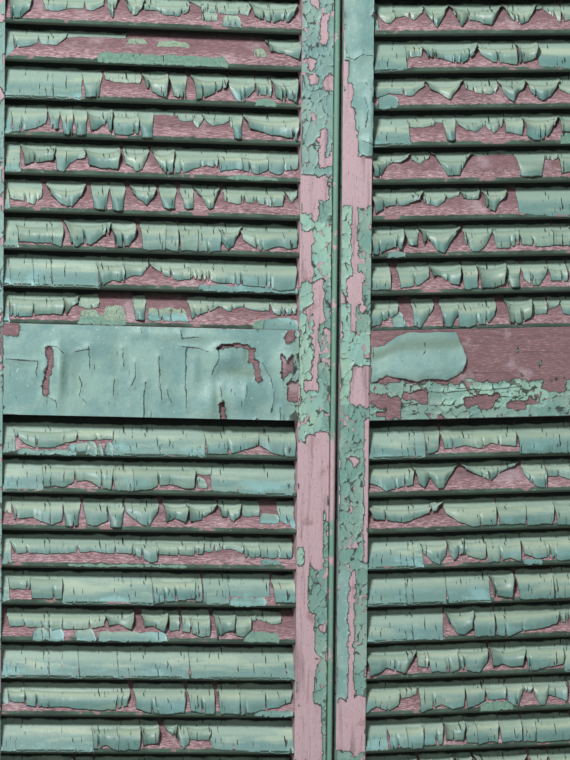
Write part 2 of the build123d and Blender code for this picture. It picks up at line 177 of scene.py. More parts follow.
# Flakes on each slat, left to right: form, start, end, then drops of the torn edge in mm.
# Forms: f flat, s lifted sheet, c curled sheet, t tube, v tongue.
# Plates that are left on the bare wood: p loose plate, m mint coat, y yellowed coat, with the
# drops of their top and bottom.
LEFT_FLAKES = {
    1: [("c", 7, 37, 37, 37, 37, 29, 23), ("s", 52, 133, 24, 26, 22, 21, 24, 14),
        ("v", 135, 153, 10, 34, 9), ("c", 163, 187, 14, 27, 26, 16),
        ("s", 187, 248, 19, 19, 25, 26, 20), ("s", 248, 265, 5, 14), ("p", 265, 286, 14, 31),
        ("s", 265, 331, 19, 21), ("p", 292, 318, 23, 38),
        ("c", 331, 395, 20, 25, 27, 29, 25, 29, 17)],
    2: [("f", 0, 13, 41, 30), ("s", 13, 84, 27, 24, 20, 21, 20, 9), ("f", 84, 165, 9, 7, 8),
        ("y", 165, 192, 8, 15), ("y", 206, 249, 9, 17), ("m", 124, 300, 28, 41),
        ("y", 336, 354, 15, 26), ("c", 354, 400, 17, 20, 28)],
    3: [("f", 0, 104, 41), ("t", 106, 131, 38), ("s", 136, 184, 14, 16, 18, 17),
        ("c", 187, 219, 21, 28, 33, 36), ("t", 224, 246, 34), ("c", 254, 302, 36, 33, 26, 19),
        ("s", 303, 338, 24, 37, 39, 28, 20), ("s", 340, 360, 28, 27, 30),
        ("c", 362, 396, 28, 34, 32, 36), ("m", 338, 366, 31, 41)],
    4: [("f", 0, 12, 40, 38), ("s", 12, 58, 38, 35, 33, 24), ("t", 61, 76, 32), ("t", 76, 93, 38),
        ("t", 94, 112, 39), ("c", 113, 145, 33, 31, 24, 34), ("s", 146, 180, 35, 37, 34),
        ("t", 181, 201, 40), ("f", 201, 235, 9, 8, 10), ("s", 235, 256, 14, 16, 14),
        ("s", 256, 270, 16, 25, 14), ("s", 270, 304, 14, 21, 18, 12), ("s", 304, 308, 22),
        ("t", 308, 322, 36), ("c", 325, 400, 21, 24, 29, 31, 33, 36)],
    5: [("f", 0, 22, 40, 40), ("c", 24, 69, 32, 27, 26, 23), ("s", 70, 110, 37, 38, 26, 20, 18),
        ("c", 110, 156, 28, 32, 33), ("s", 162, 195, 25, 28, 36, 32, 14),
        ("v", 200, 229, 14, 30, 38, 34), ("s", 230, 290, 36, 34, 28, 23, 26),
        ("s", 290, 322, 31, 29, 27, 28), ("s", 322, 357, 29, 31, 33, 28),
        ("s", 357, 398, 30, 33, 27, 25), ("m", 300, 370, 36, 41)],
    6: [("f", 0, 8, 40, 39), ("s", 8, 52, 27, 27, 31, 34, 21), ("c", 60, 110, 17, 32, 35, 16),
        ("t", 119, 142, 37), ("t", 144, 164, 38), ("c", 172, 205, 13, 22, 30, 18),
        ("t", 211, 233, 33), ("t", 240, 257, 32), ("v", 258, 291, 9, 15, 32, 31, 10),
        ("s", 298, 380, 21, 24, 23, 22, 27, 25), ("v", 380, 398, 8, 20, 10)],
    7: [("f", 0, 20, 41), ("s", 20, 80, 34, 34, 33, 34, 39),
        ("c", 84, 145, 32, 38, 33, 35, 30, 21, 16), ("c", 146, 178, 36, 37, 35, 23),
        ("s", 186, 218, 39, 39, 40), ("s", 218, 236, 38, 40), ("s", 238, 262, 39, 40),
        ("s", 262, 293, 39, 40, 38), ("c", 293, 322, 24, 36, 30, 10),
        ("s", 322, 398, 22, 30, 37, 33, 30, 33, 30)],
    8: [("f", 0, 10, 41), ("f", 10, 41, 41), ("f", 41, 66, 41), ("f", 66, 128, 41),
        ("s", 128, 162, 40, 32, 33), ("s", 164, 197, 30, 25, 24, 10),
        ("s", 199, 252, 12, 24, 29, 27), ("s", 252, 398, 25, 28, 30, 33, 34, 35, 40, 37),
        ("p", 262, 398, 34, 41)],
    9: [("f", 0, 10, 41), ("s", 10, 82, 33, 33, 29, 29), ("v", 82, 102, 28, 18, 12),
        ("s", 102, 130, 16, 20, 17), ("y", 105, 130, 22, 30), ("m", 100, 165, 28, 41),
        ("y", 136, 165, 16, 34), ("t", 176, 193, 33), ("y", 195, 249, 17, 26),
        ("p", 195, 250, 24, 34),
        ("s", 252, 400, 31, 24, 19, 12, 20, 13, 15, 16, 16, 21, 21, 20),
        ("m", 338, 400, 30, 41), ("p", 352, 400, 27, 42)],
    10: [("f", 0, 18, 40, 38), ("s", 18, 102, 18, 30, 34, 33, 32, 25, 23),
         ("s", 102, 150, 22, 22, 23, 20, 21), ("f", 150, 275, 41),
         ("s", 275, 348, 38, 38, 37, 33, 29, 24), ("s", 348, 398, 24, 34, 38, 39),
         ("p", 20, 100, 36, 41), ("p", 88, 118, 26, 38), ("p", 112, 128, 24, 41),
         ("p", 128, 136, 24, 41), ("p", 138, 150, 24, 41)],
    11: [("f", 0, 56, 41), ("s", 56, 150, 36, 35, 35, 27, 27, 35, 39), ("s", 150, 178, 39, 40, 39),
         ("s", 178, 262, 38, 38, 32, 30, 33, 35), ("s", 262, 284, 16, 17),
         ("p", 262, 277, 20, 34), ("f", 284, 398, 37, 38, 41, 41)],
    12: [("f", 0, 14, 20, 22), ("s", 16, 82, 30, 29, 27, 33, 36, 32), ("t", 84, 107, 37),
         ("s", 112, 142, 36, 37, 30), ("t", 144, 166, 38), ("s", 168, 212, 18, 26, 35, 35, 18),
         ("c", 220, 252, 30, 25, 30), ("c", 252, 292, 30, 26, 12),
         ("c", 296, 325, 21, 23, 28, 19), ("s", 326, 350, 21, 22, 20), ("p", 350, 377, 17, 30),
         ("f", 377, 398, 25, 38)],
    13: [("f", 0, 14, 40, 38), ("s", 14, 178, 26, 24, 26, 23, 22, 24, 24),
         ("s", 178, 212, 24, 30, 35, 34), ("s", 212, 275, 25, 25, 24),
         ("s", 275, 330, 20, 20, 16, 21), ("s", 330, 352, 27, 27, 26),
         ("s", 352, 396, 26, 27, 28), ("m", 90, 250, 38, 41), ("p", 352, 380, 30, 36)],
    14: [("f", 0, 12, 40, 38), ("s", 12, 40, 23, 24), ("s", 40, 82, 36, 36), ("f", 82, 205, 41),
         ("s", 205, 262, 41, 36, 34), ("s", 262, 272, 37), ("f", 276, 310, 40),
         ("f", 310, 365, 30), ("p", 308, 360, 31, 41), ("s", 370, 400, 37, 38)],
    15: [("s", 10, 142, 23, 24, 25, 29, 26, 27, 26, 21), ("p", 42, 85, 26, 41),
         ("p", 100, 128, 27, 41), ("p", 130, 225, 30, 41), ("c", 144, 180, 21, 20, 27),
         ("c", 192, 225, 21, 23, 29), ("s", 228, 242, 28, 27), ("s", 246, 258, 29, 30),
         ("s", 258, 284, 30, 36, 34), ("c", 290, 318, 36, 28, 26), ("s", 318, 340, 33, 34, 26),
         ("s", 340, 382, 14, 13, 18, 16), ("m", 330, 378, 28, 41)],
    16: [("f", 0, 105, 41), ("f", 106, 158, 41), ("f", 160, 256, 41), ("f", 257, 400, 41)],
    17: [("f", 0, 12, 30, 28), ("s", 12, 33, 25, 26), ("s", 34, 175, 30, 31, 31, 34, 35, 35, 30),
         ("s", 182, 250, 33, 38, 39, 39, 38), ("s", 256, 290, 35, 39, 39),
         ("s", 297, 325, 39, 39), ("s", 326, 398, 40, 37, 33, 30, 22), ("p", 345, 398, 34, 41)],
    18: [("f", 0, 125, 41), ("s", 125, 160, 38, 33, 40), ("s", 160, 190, 40, 38),
         ("c", 191, 215, 33, 29), ("v", 222, 240, 8, 16, 24), ("s", 240, 256, 28, 36, 30),
         ("s", 256, 286, 25, 26), ("f", 286, 400, 36, 38, 41, 41)],
}
RIGHT_FLAKES = {
    1: [("f", 0, 8, 34, 36), ("s", 8, 31, 17, 24, 28, 20), ("s", 32, 71, 20, 17, 23, 11),
        ("v", 72, 105, 12, 22, 33, 25, 10), ("c", 106, 180, 10, 33, 22, 24, 28, 30, 9),
        ("c", 181, 228, 8, 24, 29, 25, 7), ("s", 229, 262, 8, 9, 17, 28)],
    2: [("f", 0, 48, 42, 41, 40), ("s", 48, 70, 24, 21), ("c", 71, 146, 23, 24, 29, 32, 18),
        ("s", 148, 200, 18, 31, 32, 35), ("c", 202, 230, 32, 31, 24), ("f", 231, 285, 36, 37, 41)],
    3: [("s", 0, 74, 29, 22, 22, 25, 10), ("p", 8, 36, 24, 41), ("v", 76, 127, 13, 22, 30, 11),
        ("s", 130, 175, 15, 21, 23, 22), ("v", 177, 214, 14, 29, 35, 21, 14),
        ("v", 215, 262, 14, 29, 33, 27, 13), ("s", 262, 300, 18, 26, 14)],
    4: [("f", 0, 52, 41), ("s", 53, 88, 18, 17, 15), ("s", 88, 101, 9, 12), ("t", 101, 118, 35),
        ("s", 120, 185, 13, 22, 24, 17, 27, 15), ("s", 187, 211, 25, 27, 30),
        ("c", 212, 260, 30, 37, 37, 30, 15)],
    5: [("c", 0, 56, 32, 33, 19, 14, 14, 8), ("s", 58, 83, 10, 17, 8),
        ("c", 86, 142, 6, 33, 32, 5), ("f", 142, 203, 6, 6), ("t", 203, 243, 36),
        ("s", 244, 262, 12, 16, 10)],
    6: [("c", 0, 73, 33, 22, 22, 15), ("s", 75, 105, 20, 22, 25, 17), ("s", 106, 125, 15, 11),
        ("c", 127, 152, 13, 16, 16), ("c", 157, 190, 23, 31, 33, 20, 12),
        ("f", 206, 300, 35, 40, 40)],
    7: [("c", 0, 47, 38, 37, 32, 29, 32), ("p", 22, 48, 35, 41), ("t", 50, 68, 26),
        ("c", 70, 126, 24, 19, 35, 38, 23, 10), ("s", 132, 172, 26, 37, 37, 29, 10),
        ("s", 172, 208, 32, 33, 27), ("s", 209, 255, 29, 31, 31), ("s", 256, 280, 30, 31)],
    8: [("s", 0, 28, 37, 36), ("s", 41, 83, 34, 34, 30, 22), ("c", 84, 126, 18, 20, 30, 32),
        ("s", 130, 150, 38, 37), ("c", 151, 189, 37, 37, 32), ("t", 189, 211, 36),
        ("s", 213, 248, 25, 34, 34, 18), ("s", 251, 275, 28, 31)],
    9: [("s", 0, 41, 36, 35, 26, 18), ("p", 31, 50, 19, 37), ("s", 61, 90, 36, 40, 28, 16),
        ("s", 100, 124, 38, 39, 20), ("s", 124, 177, 38, 41, 36, 36, 23),
        ("c", 190, 226, 35, 36, 26), ("s", 226, 248, 26, 23), ("s", 251, 268, 17, 12)],
    10: [("f", 0, 80, 41), ("s", 80, 100, 38, 36, 30), ("s", 104, 208, 30, 30, 27, 32, 25, 29, 30),
         ("s", 209, 285, 40, 41, 40, 41)],
    11: [("s", 0, 65, 24, 28, 36, 33, 31, 28), ("v", 65, 127, 26, 34, 19, 34, 34, 19, 8),
         ("v", 131, 214, 9, 18, 25, 14, 6), ("s", 218, 250, 19, 36, 37),
         ("s", 251, 285, 21, 23, 29)],
    12: [("c", 0, 106, 23, 26, 30, 22, 14), ("s", 108, 180, 19, 31, 38, 37, 36),
         ("s", 183, 222, 36, 37), ("s", 223, 262, 39, 37, 39), ("s", 263, 290, 39, 40)],
    13: [("f", 0, 78, 41), ("s", 78, 112, 21, 33, 38, 25), ("v", 112, 136, 18, 35, 27, 23),
         ("s", 136, 166, 26, 32, 33), ("s", 167, 215, 38, 37, 33, 37),
         ("s", 218, 285, 28, 35, 33, 38, 37), ("p", 218, 245, 36, 41)],
    14: [("f", 0, 56, 41), ("f", 57, 112, 41), ("f", 113, 172, 41), ("c", 174, 205, 34, 37),
         ("s", 212, 262, 40, 40), ("s", 264, 290, 40, 40)],
    15: [("f", 0, 108, 41, 41, 39, 41), ("c", 112, 150, 18, 35, 36, 26), ("s", 151, 180, 39, 39),
         ("s", 182, 272, 38, 41, 34, 33, 30, 25), ("s", 273, 300, 24, 25)],
    16: [("c", 0, 72, 38, 35, 28, 31, 36, 15), ("s", 73, 88, 28, 30),
         ("s", 89, 130, 35, 36, 38, 33), ("s", 131, 172, 33, 35, 40, 25),
         ("c", 174, 224, 31, 29, 33, 31), ("s", 225, 278, 38, 39, 35, 35, 30)],
    17: [("s", 0, 50, 39, 31, 36, 28), ("s", 50, 76, 22, 20, 16),
         ("s", 77, 140, 40, 37, 31, 38, 34), ("s", 142, 168, 37, 34, 27), ("s", 170, 198, 27, 27),
         ("s", 200, 222, 29, 36, 37, 21), ("s", 222, 236, 19, 20), ("s", 237, 258, 24, 37, 37, 22),
         ("s", 258, 285, 24, 27, 34), ("m", 160, 206, 30, 41)],
    18: [("f", 0, 32, 40), ("s", 34, 60, 41, 37, 39), ("s", 60, 82, 39, 40), ("s", 83, 110, 37, 36),
         ("c", 112, 140, 29, 31), ("s", 141, 158, 35, 36), ("s", 158, 188, 38, 34, 36),
         ("s", 190, 220, 36, 35), ("s", 222, 240, 36, 37), ("s", 241, 290, 38, 37)],
}

# Zones of a board: kind, share across from and to, height from and to in mm. Later ones win.
LEFT_MEETING_ZONES = [
    ("blue", 0, 1, 660, 315), ("bare", 0.6, 0.8, 528, 491), ("bare", 0.2, 0.4, 475, 460),
    ("bare", 0.2, 0.5, 450, 433), ("bare", 0.7, 1, 448, 430), ("bare", 0.6, 0.8, 376, 328),
    ("bare", 0, 0.85, 315, 281), ("bare", 0, 0.55, 281, 251), ("green", 0.55, 1, 281, 251),
    ("mint", 0, 0.4, 261, 238), ("bare", 0, 0.4, 238, 175), ("mint", 0.4, 1, 251, 175),
    ("mint", 0, 0.45, 175, 105), ("bare", 0.45, 0.75, 175, 105), ("green", 0.75, 1, 175, 37),
    ("mint", 0, 0.5, 112, 37), ("bare", 0.45, 0.6, 112, 37), ("green", 0.6, 1, 112, -25),
    ("mint", 0.05, 0.75, 37, -28), ("bare", 0.2, 0.6, 37, 22), ("mint", 0, 0.3, -28, -46),
    ("bare", 0.3, 1, -34, -46), ("bare", 0, 0.85, -46, -207), ("green", 0.85, 1, -153, -207),
    ("mint", 0, 0.25, -184, -207), ("green", 0.35, 1, -207, -315), ("bare", 0, 0.35, -209, -277),
    ("bare", 0, 0.6, -277, -397), ("green", 0.6, 1, -315, -403), ("bare", 0, 0.85, -403, -478),
    ("green", 0.85, 1, -403, -478)]
RIGHT_MEETING_ZONES = [
    ("smooth", 0, 1, 660, 338), ("bare", 0, 0.12, 470, 440), ("bare", 0, 0.27, 440, 405),
    ("bare", 0, 0.42, 405, 375), ("bare", 0, 0.52, 375, 338),
    ("bare", 0, 1, 338, 274), ("mint", 0, 0.35, 274, 105),
    ("bare", 0.35, 0.5, 274, 105), ("green", 0.5, 1, 274, 105), ("bare", 0.2, 0.7, 183, 145),
    ("mint", 0, 1, 105, 60), ("mint", 0, 0.4, 60, 3), ("bare", 0.4, 1, 60, 3),
    ("green", 0, 1, 3, -207), ("bare", 0.85, 1, -31, -207), ("green", 0, 1, -207, -220),
    ("smooth", 0, 0.4, -220, -396), ("bare", 0.4, 0.55, -220, -396),
    ("green", 0.55, 1, -220, -396), ("bare", 0, 1, -396, -467), ("green", 0, 1, -470, -500)]
LEFT_HINGE_ZONES = [("blue", 0, 1, 660, -660), ("bare", 0.8, 1, -318, -375)]

# Bulges of a board: x from its left edge, height, reach across and up, lift in mm. A negative
# lift is a hollow, darkened with painted shade. Cracks: x from the left edge and height of each
# corner in turn.
RIGHT_MEETING_BULGES = [(37, 400, 7, 42, 3.6), (22, 470, 12, 70, 1.2), (34, 352, 6, 14, 2.5)]
RIGHT_MEETING_CRACKS = [(4, 474, 14, 470, 26, 478, 40, 476), (28, 420, 34, 404, 30, 380),
                        (26, 362, 40, 356), (30, 440, 40, 428)]
LEFT_MID_ZONES = [
    ("smooth", 0, 1, 120, -20), ("bare", 0, 0.045, 120, 96), ("blue", 0.94, 1, 120, -20),
    ("bare", 0.147, 0.163, 80, 46), ("bare", 0.136, 0.151, 50, 14), ("bare", 0.728, 0.742, 8, -20),
    ("bare", 0.74, 0.9, -15, -20), ("bare", 0.955, 0.98, 110, 92), ("bare", 0.955, 0.975, 76, 55),
    ("bare", 0.96, 1, 40, 15), ("bare", 0.72, 0.838, 88, 84), ("bare", 0.832, 0.85, 86, 66),
    ("bare", 0.852, 0.868, 70, 44)]
LEFT_MID_BULGES = [
    (74, 46, 8, 34, 5.5), (96, 50, 9, 30, -0.9), (322, 18, 34, 22, 5.0), (300, 72, 20, 15, 5.0),
    (276, 6, 18, 22, 4.5), (256, 50, 9, 30, 2.4), (200, 60, 30, 40, 1.5), (120, 85, 34, 24, 1.6),
    (385, 60, 14, 30, 3.0), (240, 100, 70, 8, 1.6), (20, 75, 24, 18, 1.6),
    (326, 50, 36, 7, -1.2), (330, 76, 5, 16, -1.0), (288, 16, 5, 22, -1.0), (150, 60, 6, 40, -0.5),
    (56, 46, 4, 30, 2.0)]
LEFT_MID_CRACKS = [
    (62, 81, 72, 80, 80, 72), (54, 15, 70, 8, 73, -1), (114, 82, 115, 66, 116, 52),
    (116, 78, 96, 74), (102, 42, 106, 32, 103, 14, 112, 6), (191, 36, 189, 10, 190, -18),
    (246, 84, 245, 40, 247, 0), (240, 84, 264, 83, 276, 78), (288, 84, 290, 70, 281, 48),
    (288, 84, 332, 87), (350, 66, 362, 44, 366, 18, 362, -2), (292, 32, 296, 6),
    (294, -16, 376, -14), (4, 62, 46, 60, 44, 40), (176, 62, 178, 44, 172, 30),
    (208, 70, 210, 40, 214, 12), (150, 38, 148, 16), (220, 26, 226, 8), (160, 80, 162, 56),
    (328, 34, 326, 14), (376, 6, 375, -14), (238, 106, 240, 95, 262, 98), (184, 108, 186, 101)]

# Sheets on the right middle rail: form, start, end, drops of the top, drops of the torn edge.
# Forms: b bulging, f flat.
RIGHT_MID_SHEETS = [
    ("b", 1, 132, (22, 20, 8, 4, 3, 4, 3, 3), 72, 62, 66, 70, 66, 70, 60),
    ("f", 290, 398, (2, 2), 60, 64, 58)]
RIGHT_MID_ZONES = [
    ("bare", 0, 1, 120, 38), ("green", 0, 0.75, 40, -20), ("mint", 0.25, 0.62, 36, 2),
    ("green", 0.75, 1, 60, -20), ("bare", 0, 0.06, 22, 8), ("bare", 0.06, 0.11, 18, -12),
    ("bare", 0.12, 0.2, 28, 14), ("bare", 0.33, 0.38, 18, 6), ("bare", 0.38, 0.45, 22, 12),
    ("bare", 0.48, 0.54, 8, -2), ("bare", 0.6, 0.68, 38, 24), ("green", 0.5, 0.514, 88, 78),
    ("green", 0.522, 0.536, 56, 44), ("green", 0.588, 0.6, 70, 60)]
RIGHT_MID_CRACKS = [
    (60, 28, 100, 24, 140, 27), (80, 8, 120, 6, 150, 12), (120, 30, 160, 26, 210, 30),
    (4, 12, 30, 8, 60, 12), (150, 18, 200, 16), (210, 32, 214, 14), (170, 34, 174, 20)]


def linear(red, green, blue):
    """A linear colour from the 0 to 255 values of a paint card."""
    return tuple(((part / 255 + 0.055) / 1.055) ** 2.4 for part in (red, green, blue))


def length(name, description, default):
    """A size in metres that the sidebar shows."""
    return FloatProperty(name=name, description=description, default=default, unit="LENGTH")


def tint(name, description, red, green, blue):
    """A colour that the sidebar shows."""
    return FloatVectorProperty(name=name, description=description, subtype="COLOR", size=3,
                               min=0, max=1, default=linear(red, green, blue))


# Shades that break up the main colours of the sidebar, among them painted shade, shadow and
# highlight.
UPRIGHT_WOOD = linear(158, 136, 142)
SILVERED_WOOD = linear(150, 134, 140)
STAINED_WOOD = linear(112, 82, 82)
BLEACHED_AND_HIGHLIT_WOOD = linear(202, 172, 177)
GRAIN_LINE = linear(66, 50, 52)
WOOD_SPECK = linear(84, 68, 70)
NOSE_DARK = linear(34, 52, 43)
NOSE_GREEN = linear(54, 78, 67)
NOSE_MINT = linear(150, 172, 152)
NOSE_WOOD = linear(120, 96, 98)
SLAT_UNDERSIDE_PAINT_AND_SHADE = linear(40, 54, 44)
SLAT_BLUE = linear(108, 148, 148)
SLAT_CHALK = linear(182, 200, 184)
SLAT_STREAK = linear(74, 100, 90)
SLAT_SPECK = linear(76, 94, 82)
SLAT_TIP_SHADE = linear(44, 82, 77)
SLAT_DUST = linear(90, 116, 102)
SLAT_CRACK_AND_EDGE_SHADOW = linear(20, 27, 23)
FADED_DARK = linear(94, 116, 100)
FADED_LIGHT = linear(132, 144, 122)
THIN_DARK = linear(72, 106, 94)
THIN_LIGHT = linear(100, 130, 116)
SHADED_UNDERSIDE_GREEN = linear(46, 56, 48)
SHADED_UNDERSIDE_WOOD = linear(84, 74, 70)
BOARD_BLUE = linear(94, 128, 126)
BOARD_PALE = linear(114, 143, 136)
BOARD_SPECK = linear(80, 100, 88)
BOARD_CHALK = linear(182, 198, 182)
BOARD_DUST_AND_HOLLOW_SHADE = linear(98, 120, 106)
BOARD_CRACK_AND_EDGE_SHADOW = linear(28, 36, 32)
MINT_PALE = linear(126, 158, 142)
CRACK_GREEN = linear(38, 48, 43)
BEAD_GREEN = linear(92, 128, 104)
IRON_DUST = linear(84, 78, 72)


class ShutterSizes(bpy.types.PropertyGroup):
    """Sizes of the paint and of the stage."""
    coat: length("Coat", "Thickness of a lifted coat of paint", 0.0007)
    column: length("Column", "Distance between points along a flake", 0.0019)
    flat_lift: length("Flat lift", "How far sound paint stands off the wood", 0.00025)
    sheet_lift: length("Sheet lift", "How far a lifted sheet stands off", 0.0056)
    curl_lift: length("Curl lift", "How far a curled sheet stands off", 0.0092)
    tube_lift: length("Tube lift", "Height of a flake rolled into a tube", 0.0052)
    cell: length("Cell", "Usual size of a cell of cracked paint on the boards", 0.0098)
    near_point: length("Near point", "Distance between points of the paint in view", 0.0017)
    far_point: length("Far point", "The same on the boards outside the view", 0.0024)
    left_rack: FloatProperty(name="Left rack", description="Sag of the left leaf's slats",
                             default=math.radians(1.25), subtype="ANGLE")
    right_rack: FloatProperty(name="Right rack", description="Sag of the right leaf's slats",
                              default=math.radians(-1.4), subtype="ANGLE")
    screw_head: length("Screw head", "Diameter of the screw heads", 0.007)
    view_distance: length("View distance", "Camera to the shutters", 5.0)
    view_lens: FloatProperty(name="Lens", description="Focal length in mm", default=175.7)
    view_yaw: FloatProperty(name="Yaw", description="Turn of the camera to the right",
                            default=math.radians(10.25), subtype="ANGLE")
    view_pitch: FloatProperty(name="Pitch", description="Tilt of the camera, down is negative",
                              default=math.radians(-3), subtype="ANGLE")
    view_roll: FloatProperty(name="Roll", description="Roll of the camera",
                             default=math.radians(0.6), subtype="ANGLE")


class ShutterColours(bpy.types.PropertyGroup):
    """Colours of the paint, the wood and the iron, and of the painted shade and sheen."""
    top_coat: tint("Top coat", "Blue-green top coat", 84, 118, 115)
    # On the slats this lighter coat is painted light at the top of the face, against the shade of the
    # slat above. Elsewhere it is faded coat in random patches.
    top_shade: tint("Top coat in the shade", "Weathered top coat", 116, 140, 131)
    # Painted sheen: a yellow reflection in a band across the slats and along the fold of each flake.
    yellowed: tint("Yellowed coat", "Top coat gone yellow", 178, 186, 158)
    stile_green: tint("Stile green", "Cracked green on the stiles", 88, 126, 118)
    mint: tint("Mint", "First coat, under the top coat", 114, 152, 143)
    # Painted shade: the near-black of the deep shadow between the slats. On the board sides the same
    # colour draws the cracks.
    recess: tint("Recess", "Dirt in the shade between slats", 17, 20, 17)
    wood: tint("Wood", "Weathered wood", 102, 76, 80)
    wood_light: tint("Light wood", "Worn ridges of the wood", 170, 142, 147)
    wood_dark: tint("Dark wood", "Dark grain of the wood", 68, 54, 56)
    iron: tint("Iron", "Old iron", 58, 56, 54)
    rust: tint("Rust", "Rust on the iron", 112, 66, 42)
    floor: tint("Floor", "Plain pale floor", 214, 212, 208)


def sizes():
    """The sizes as set in the sidebar."""
    return bpy.context.scene.shutter_sizes


def colours():
    """The colours as set in the sidebar."""
    return bpy.context.scene.shutter_colours


class Finish:
    """A material whose nodes are added and linked one after the other."""

    def __init__(self, name, roughness):
        self.material = bpy.data.materials.new(name)
        self.material.use_nodes = True
        self.tree = self.material.node_tree
        self.shader = self.tree.nodes["Principled BSDF"]
        self.shader.inputs["Roughness"].default_value = roughness
        source = self.tree.nodes.new("ShaderNodeTexCoord")
        self.place = source.outputs["Object"]
        self.normal = source.outputs["Normal"]
        self.lie = source.outputs["UV"]

    def feed(self, socket, value):
        """Link a socket to another, or set its value."""
        if isinstance(value, bpy.types.NodeSocket):
            self.tree.links.new(value, socket)
        elif socket.type == "RGBA" and len(value) == 3:
            socket.default_value = (*value, 1)
        else:
            socket.default_value = value

    def node(self, kind, inputs, output=0, **settings):
        """Add a node with its settings and inputs, and give one of its outputs."""
        node = self.tree.nodes.new(kind)
        for setting, value in settings.items():
            setattr(node, setting, value)
        for socket, value in inputs.items():
            self.feed(node.inputs[socket], value)
        return node.outputs[output]

    def axis(self, vector, letter):
        """One part of a vector."""
        return self.node("ShaderNodeSeparateXYZ", {0: vector}, letter)

    def stretch(self, vector, scale):
        """A vector scaled along each axis."""
        return self.node("ShaderNodeMapping", {"Vector": vector, "Scale": scale})

    def noise(self, vector, scale, detail=4, rough=0.55, twist=0.0):
        """Soft random spots."""
        return self.node("ShaderNodeTexNoise", {"Vector": vector, "Scale": scale, "Detail": detail,
                                                "Roughness": rough, "Distortion": twist})

    def cracks(self, vector, scale):
        """Distance to the edges of random cells."""
        return self.node("ShaderNodeTexVoronoi", {"Vector": vector, "Scale": scale}, "Distance",
                         feature="DISTANCE_TO_EDGE")

    def attribute(self, name):
        """A value kept on the points of the mesh."""
        return self.node("ShaderNodeAttribute", {}, "Fac", attribute_name=name)

    def add(self, first, second):
        """The sum of two values."""
        return self.node("ShaderNodeMath", {0: first, 1: second}, operation="ADD")

    def times(self, first, second):
        """The product of two values."""
        return self.node("ShaderNodeMath", {0: first, 1: second}, operation="MULTIPLY")

    def most(self, first, second):
        """The larger of two values."""
        return self.node("ShaderNodeMath", {0: first, 1: second}, operation="MAXIMUM")

    def step(self, value, low, high):
        """0 at low, 1 at high, smooth between them."""
        ends = {"From Min": min(low, high), "From Max": max(low, high),
                "To Min": float(low > high), "To Max": float(low < high)}
        return self.node("ShaderNodeMapRange", {"Value": value, **ends},
                         interpolation_type="SMOOTHSTEP")

    def mix(self, share, first, second):
        """Two colours mixed."""
        return self.node("ShaderNodeMix", {0: share, 6: first, 7: second}, 2, data_type="RGBA")

    def over(self, colour, coat, value, low, high, strength=1):
        """A coat over a colour, where a value has gone from low to high."""
        share = self.step(value, low, high)
        if strength != 1:
            share = self.times(share, strength)
        return self.mix(share, colour, coat)

    def bump(self, height, distance, strength):
        """Relief from a height, in metres."""
        relief = self.node("ShaderNodeBump", {"Strength": strength, "Distance": distance,
                                              "Height": height})
        self.feed(self.shader.inputs["Normal"], relief)

    def done(self, colour):
        """Hand the colour to the shader and give the material back."""
        self.feed(self.shader.inputs["Base Color"], colour)
        return self.material


def grain_scale(axis, along, across):
    """A stretch that is long with the grain and short across it."""
    return tuple(along if letter == axis else across for letter in "XYZ")


def wood_colour(finish, axis):
    """Grey-pink weathered wood, with its grain along an axis."""
    kept = colours()
    broad = finish.noise(finish.stretch(finish.place, grain_scale(axis, 7, 110)), 1, 5, 0.6, 0.3)
    fine = finish.noise(finish.stretch(finish.place, grain_scale(axis, 120, 820)), 1, 7, 0.8)
    blotch = finish.noise(finish.place, 26, 6, 0.65)
    speck = finish.noise(finish.place, 420, 4, 0.7)
    colour = kept.wood if axis == "X" else UPRIGHT_WOOD
    colour = finish.over(colour, kept.wood_dark, broad, 0.5, 0.32, 0.55)
    colour = finish.over(colour, kept.wood_light, fine, 0.5, 0.7, 0.75)
    colour = finish.over(colour, SILVERED_WOOD, blotch, 0.52, 0.7, 0.6)
    colour = finish.over(colour, STAINED_WOOD, blotch, 0.42, 0.3, 0.6)
    colour = finish.over(colour, GRAIN_LINE, fine, 0.43, 0.30)
    colour = finish.over(colour, WOOD_SPECK, speck, 0.60, 0.70)
    return colour, broad, fine


def faded_green(finish):
    """Green paint that has faded in large soft patches."""
    kept = colours()
    return finish.over(kept.stile_green, kept.top_shade, finish.noise(finish.place, 12), 0.4, 0.65)


def torn_edge_shadow(finish, speck, low, high):
    """Where a painted shadow darkens the torn edge of the paint, broken up by specks."""
    edge = finish.add(finish.attribute("edge"), finish.times(speck, 0.3))
    return finish.times(finish.step(edge, low, high), 0.9)


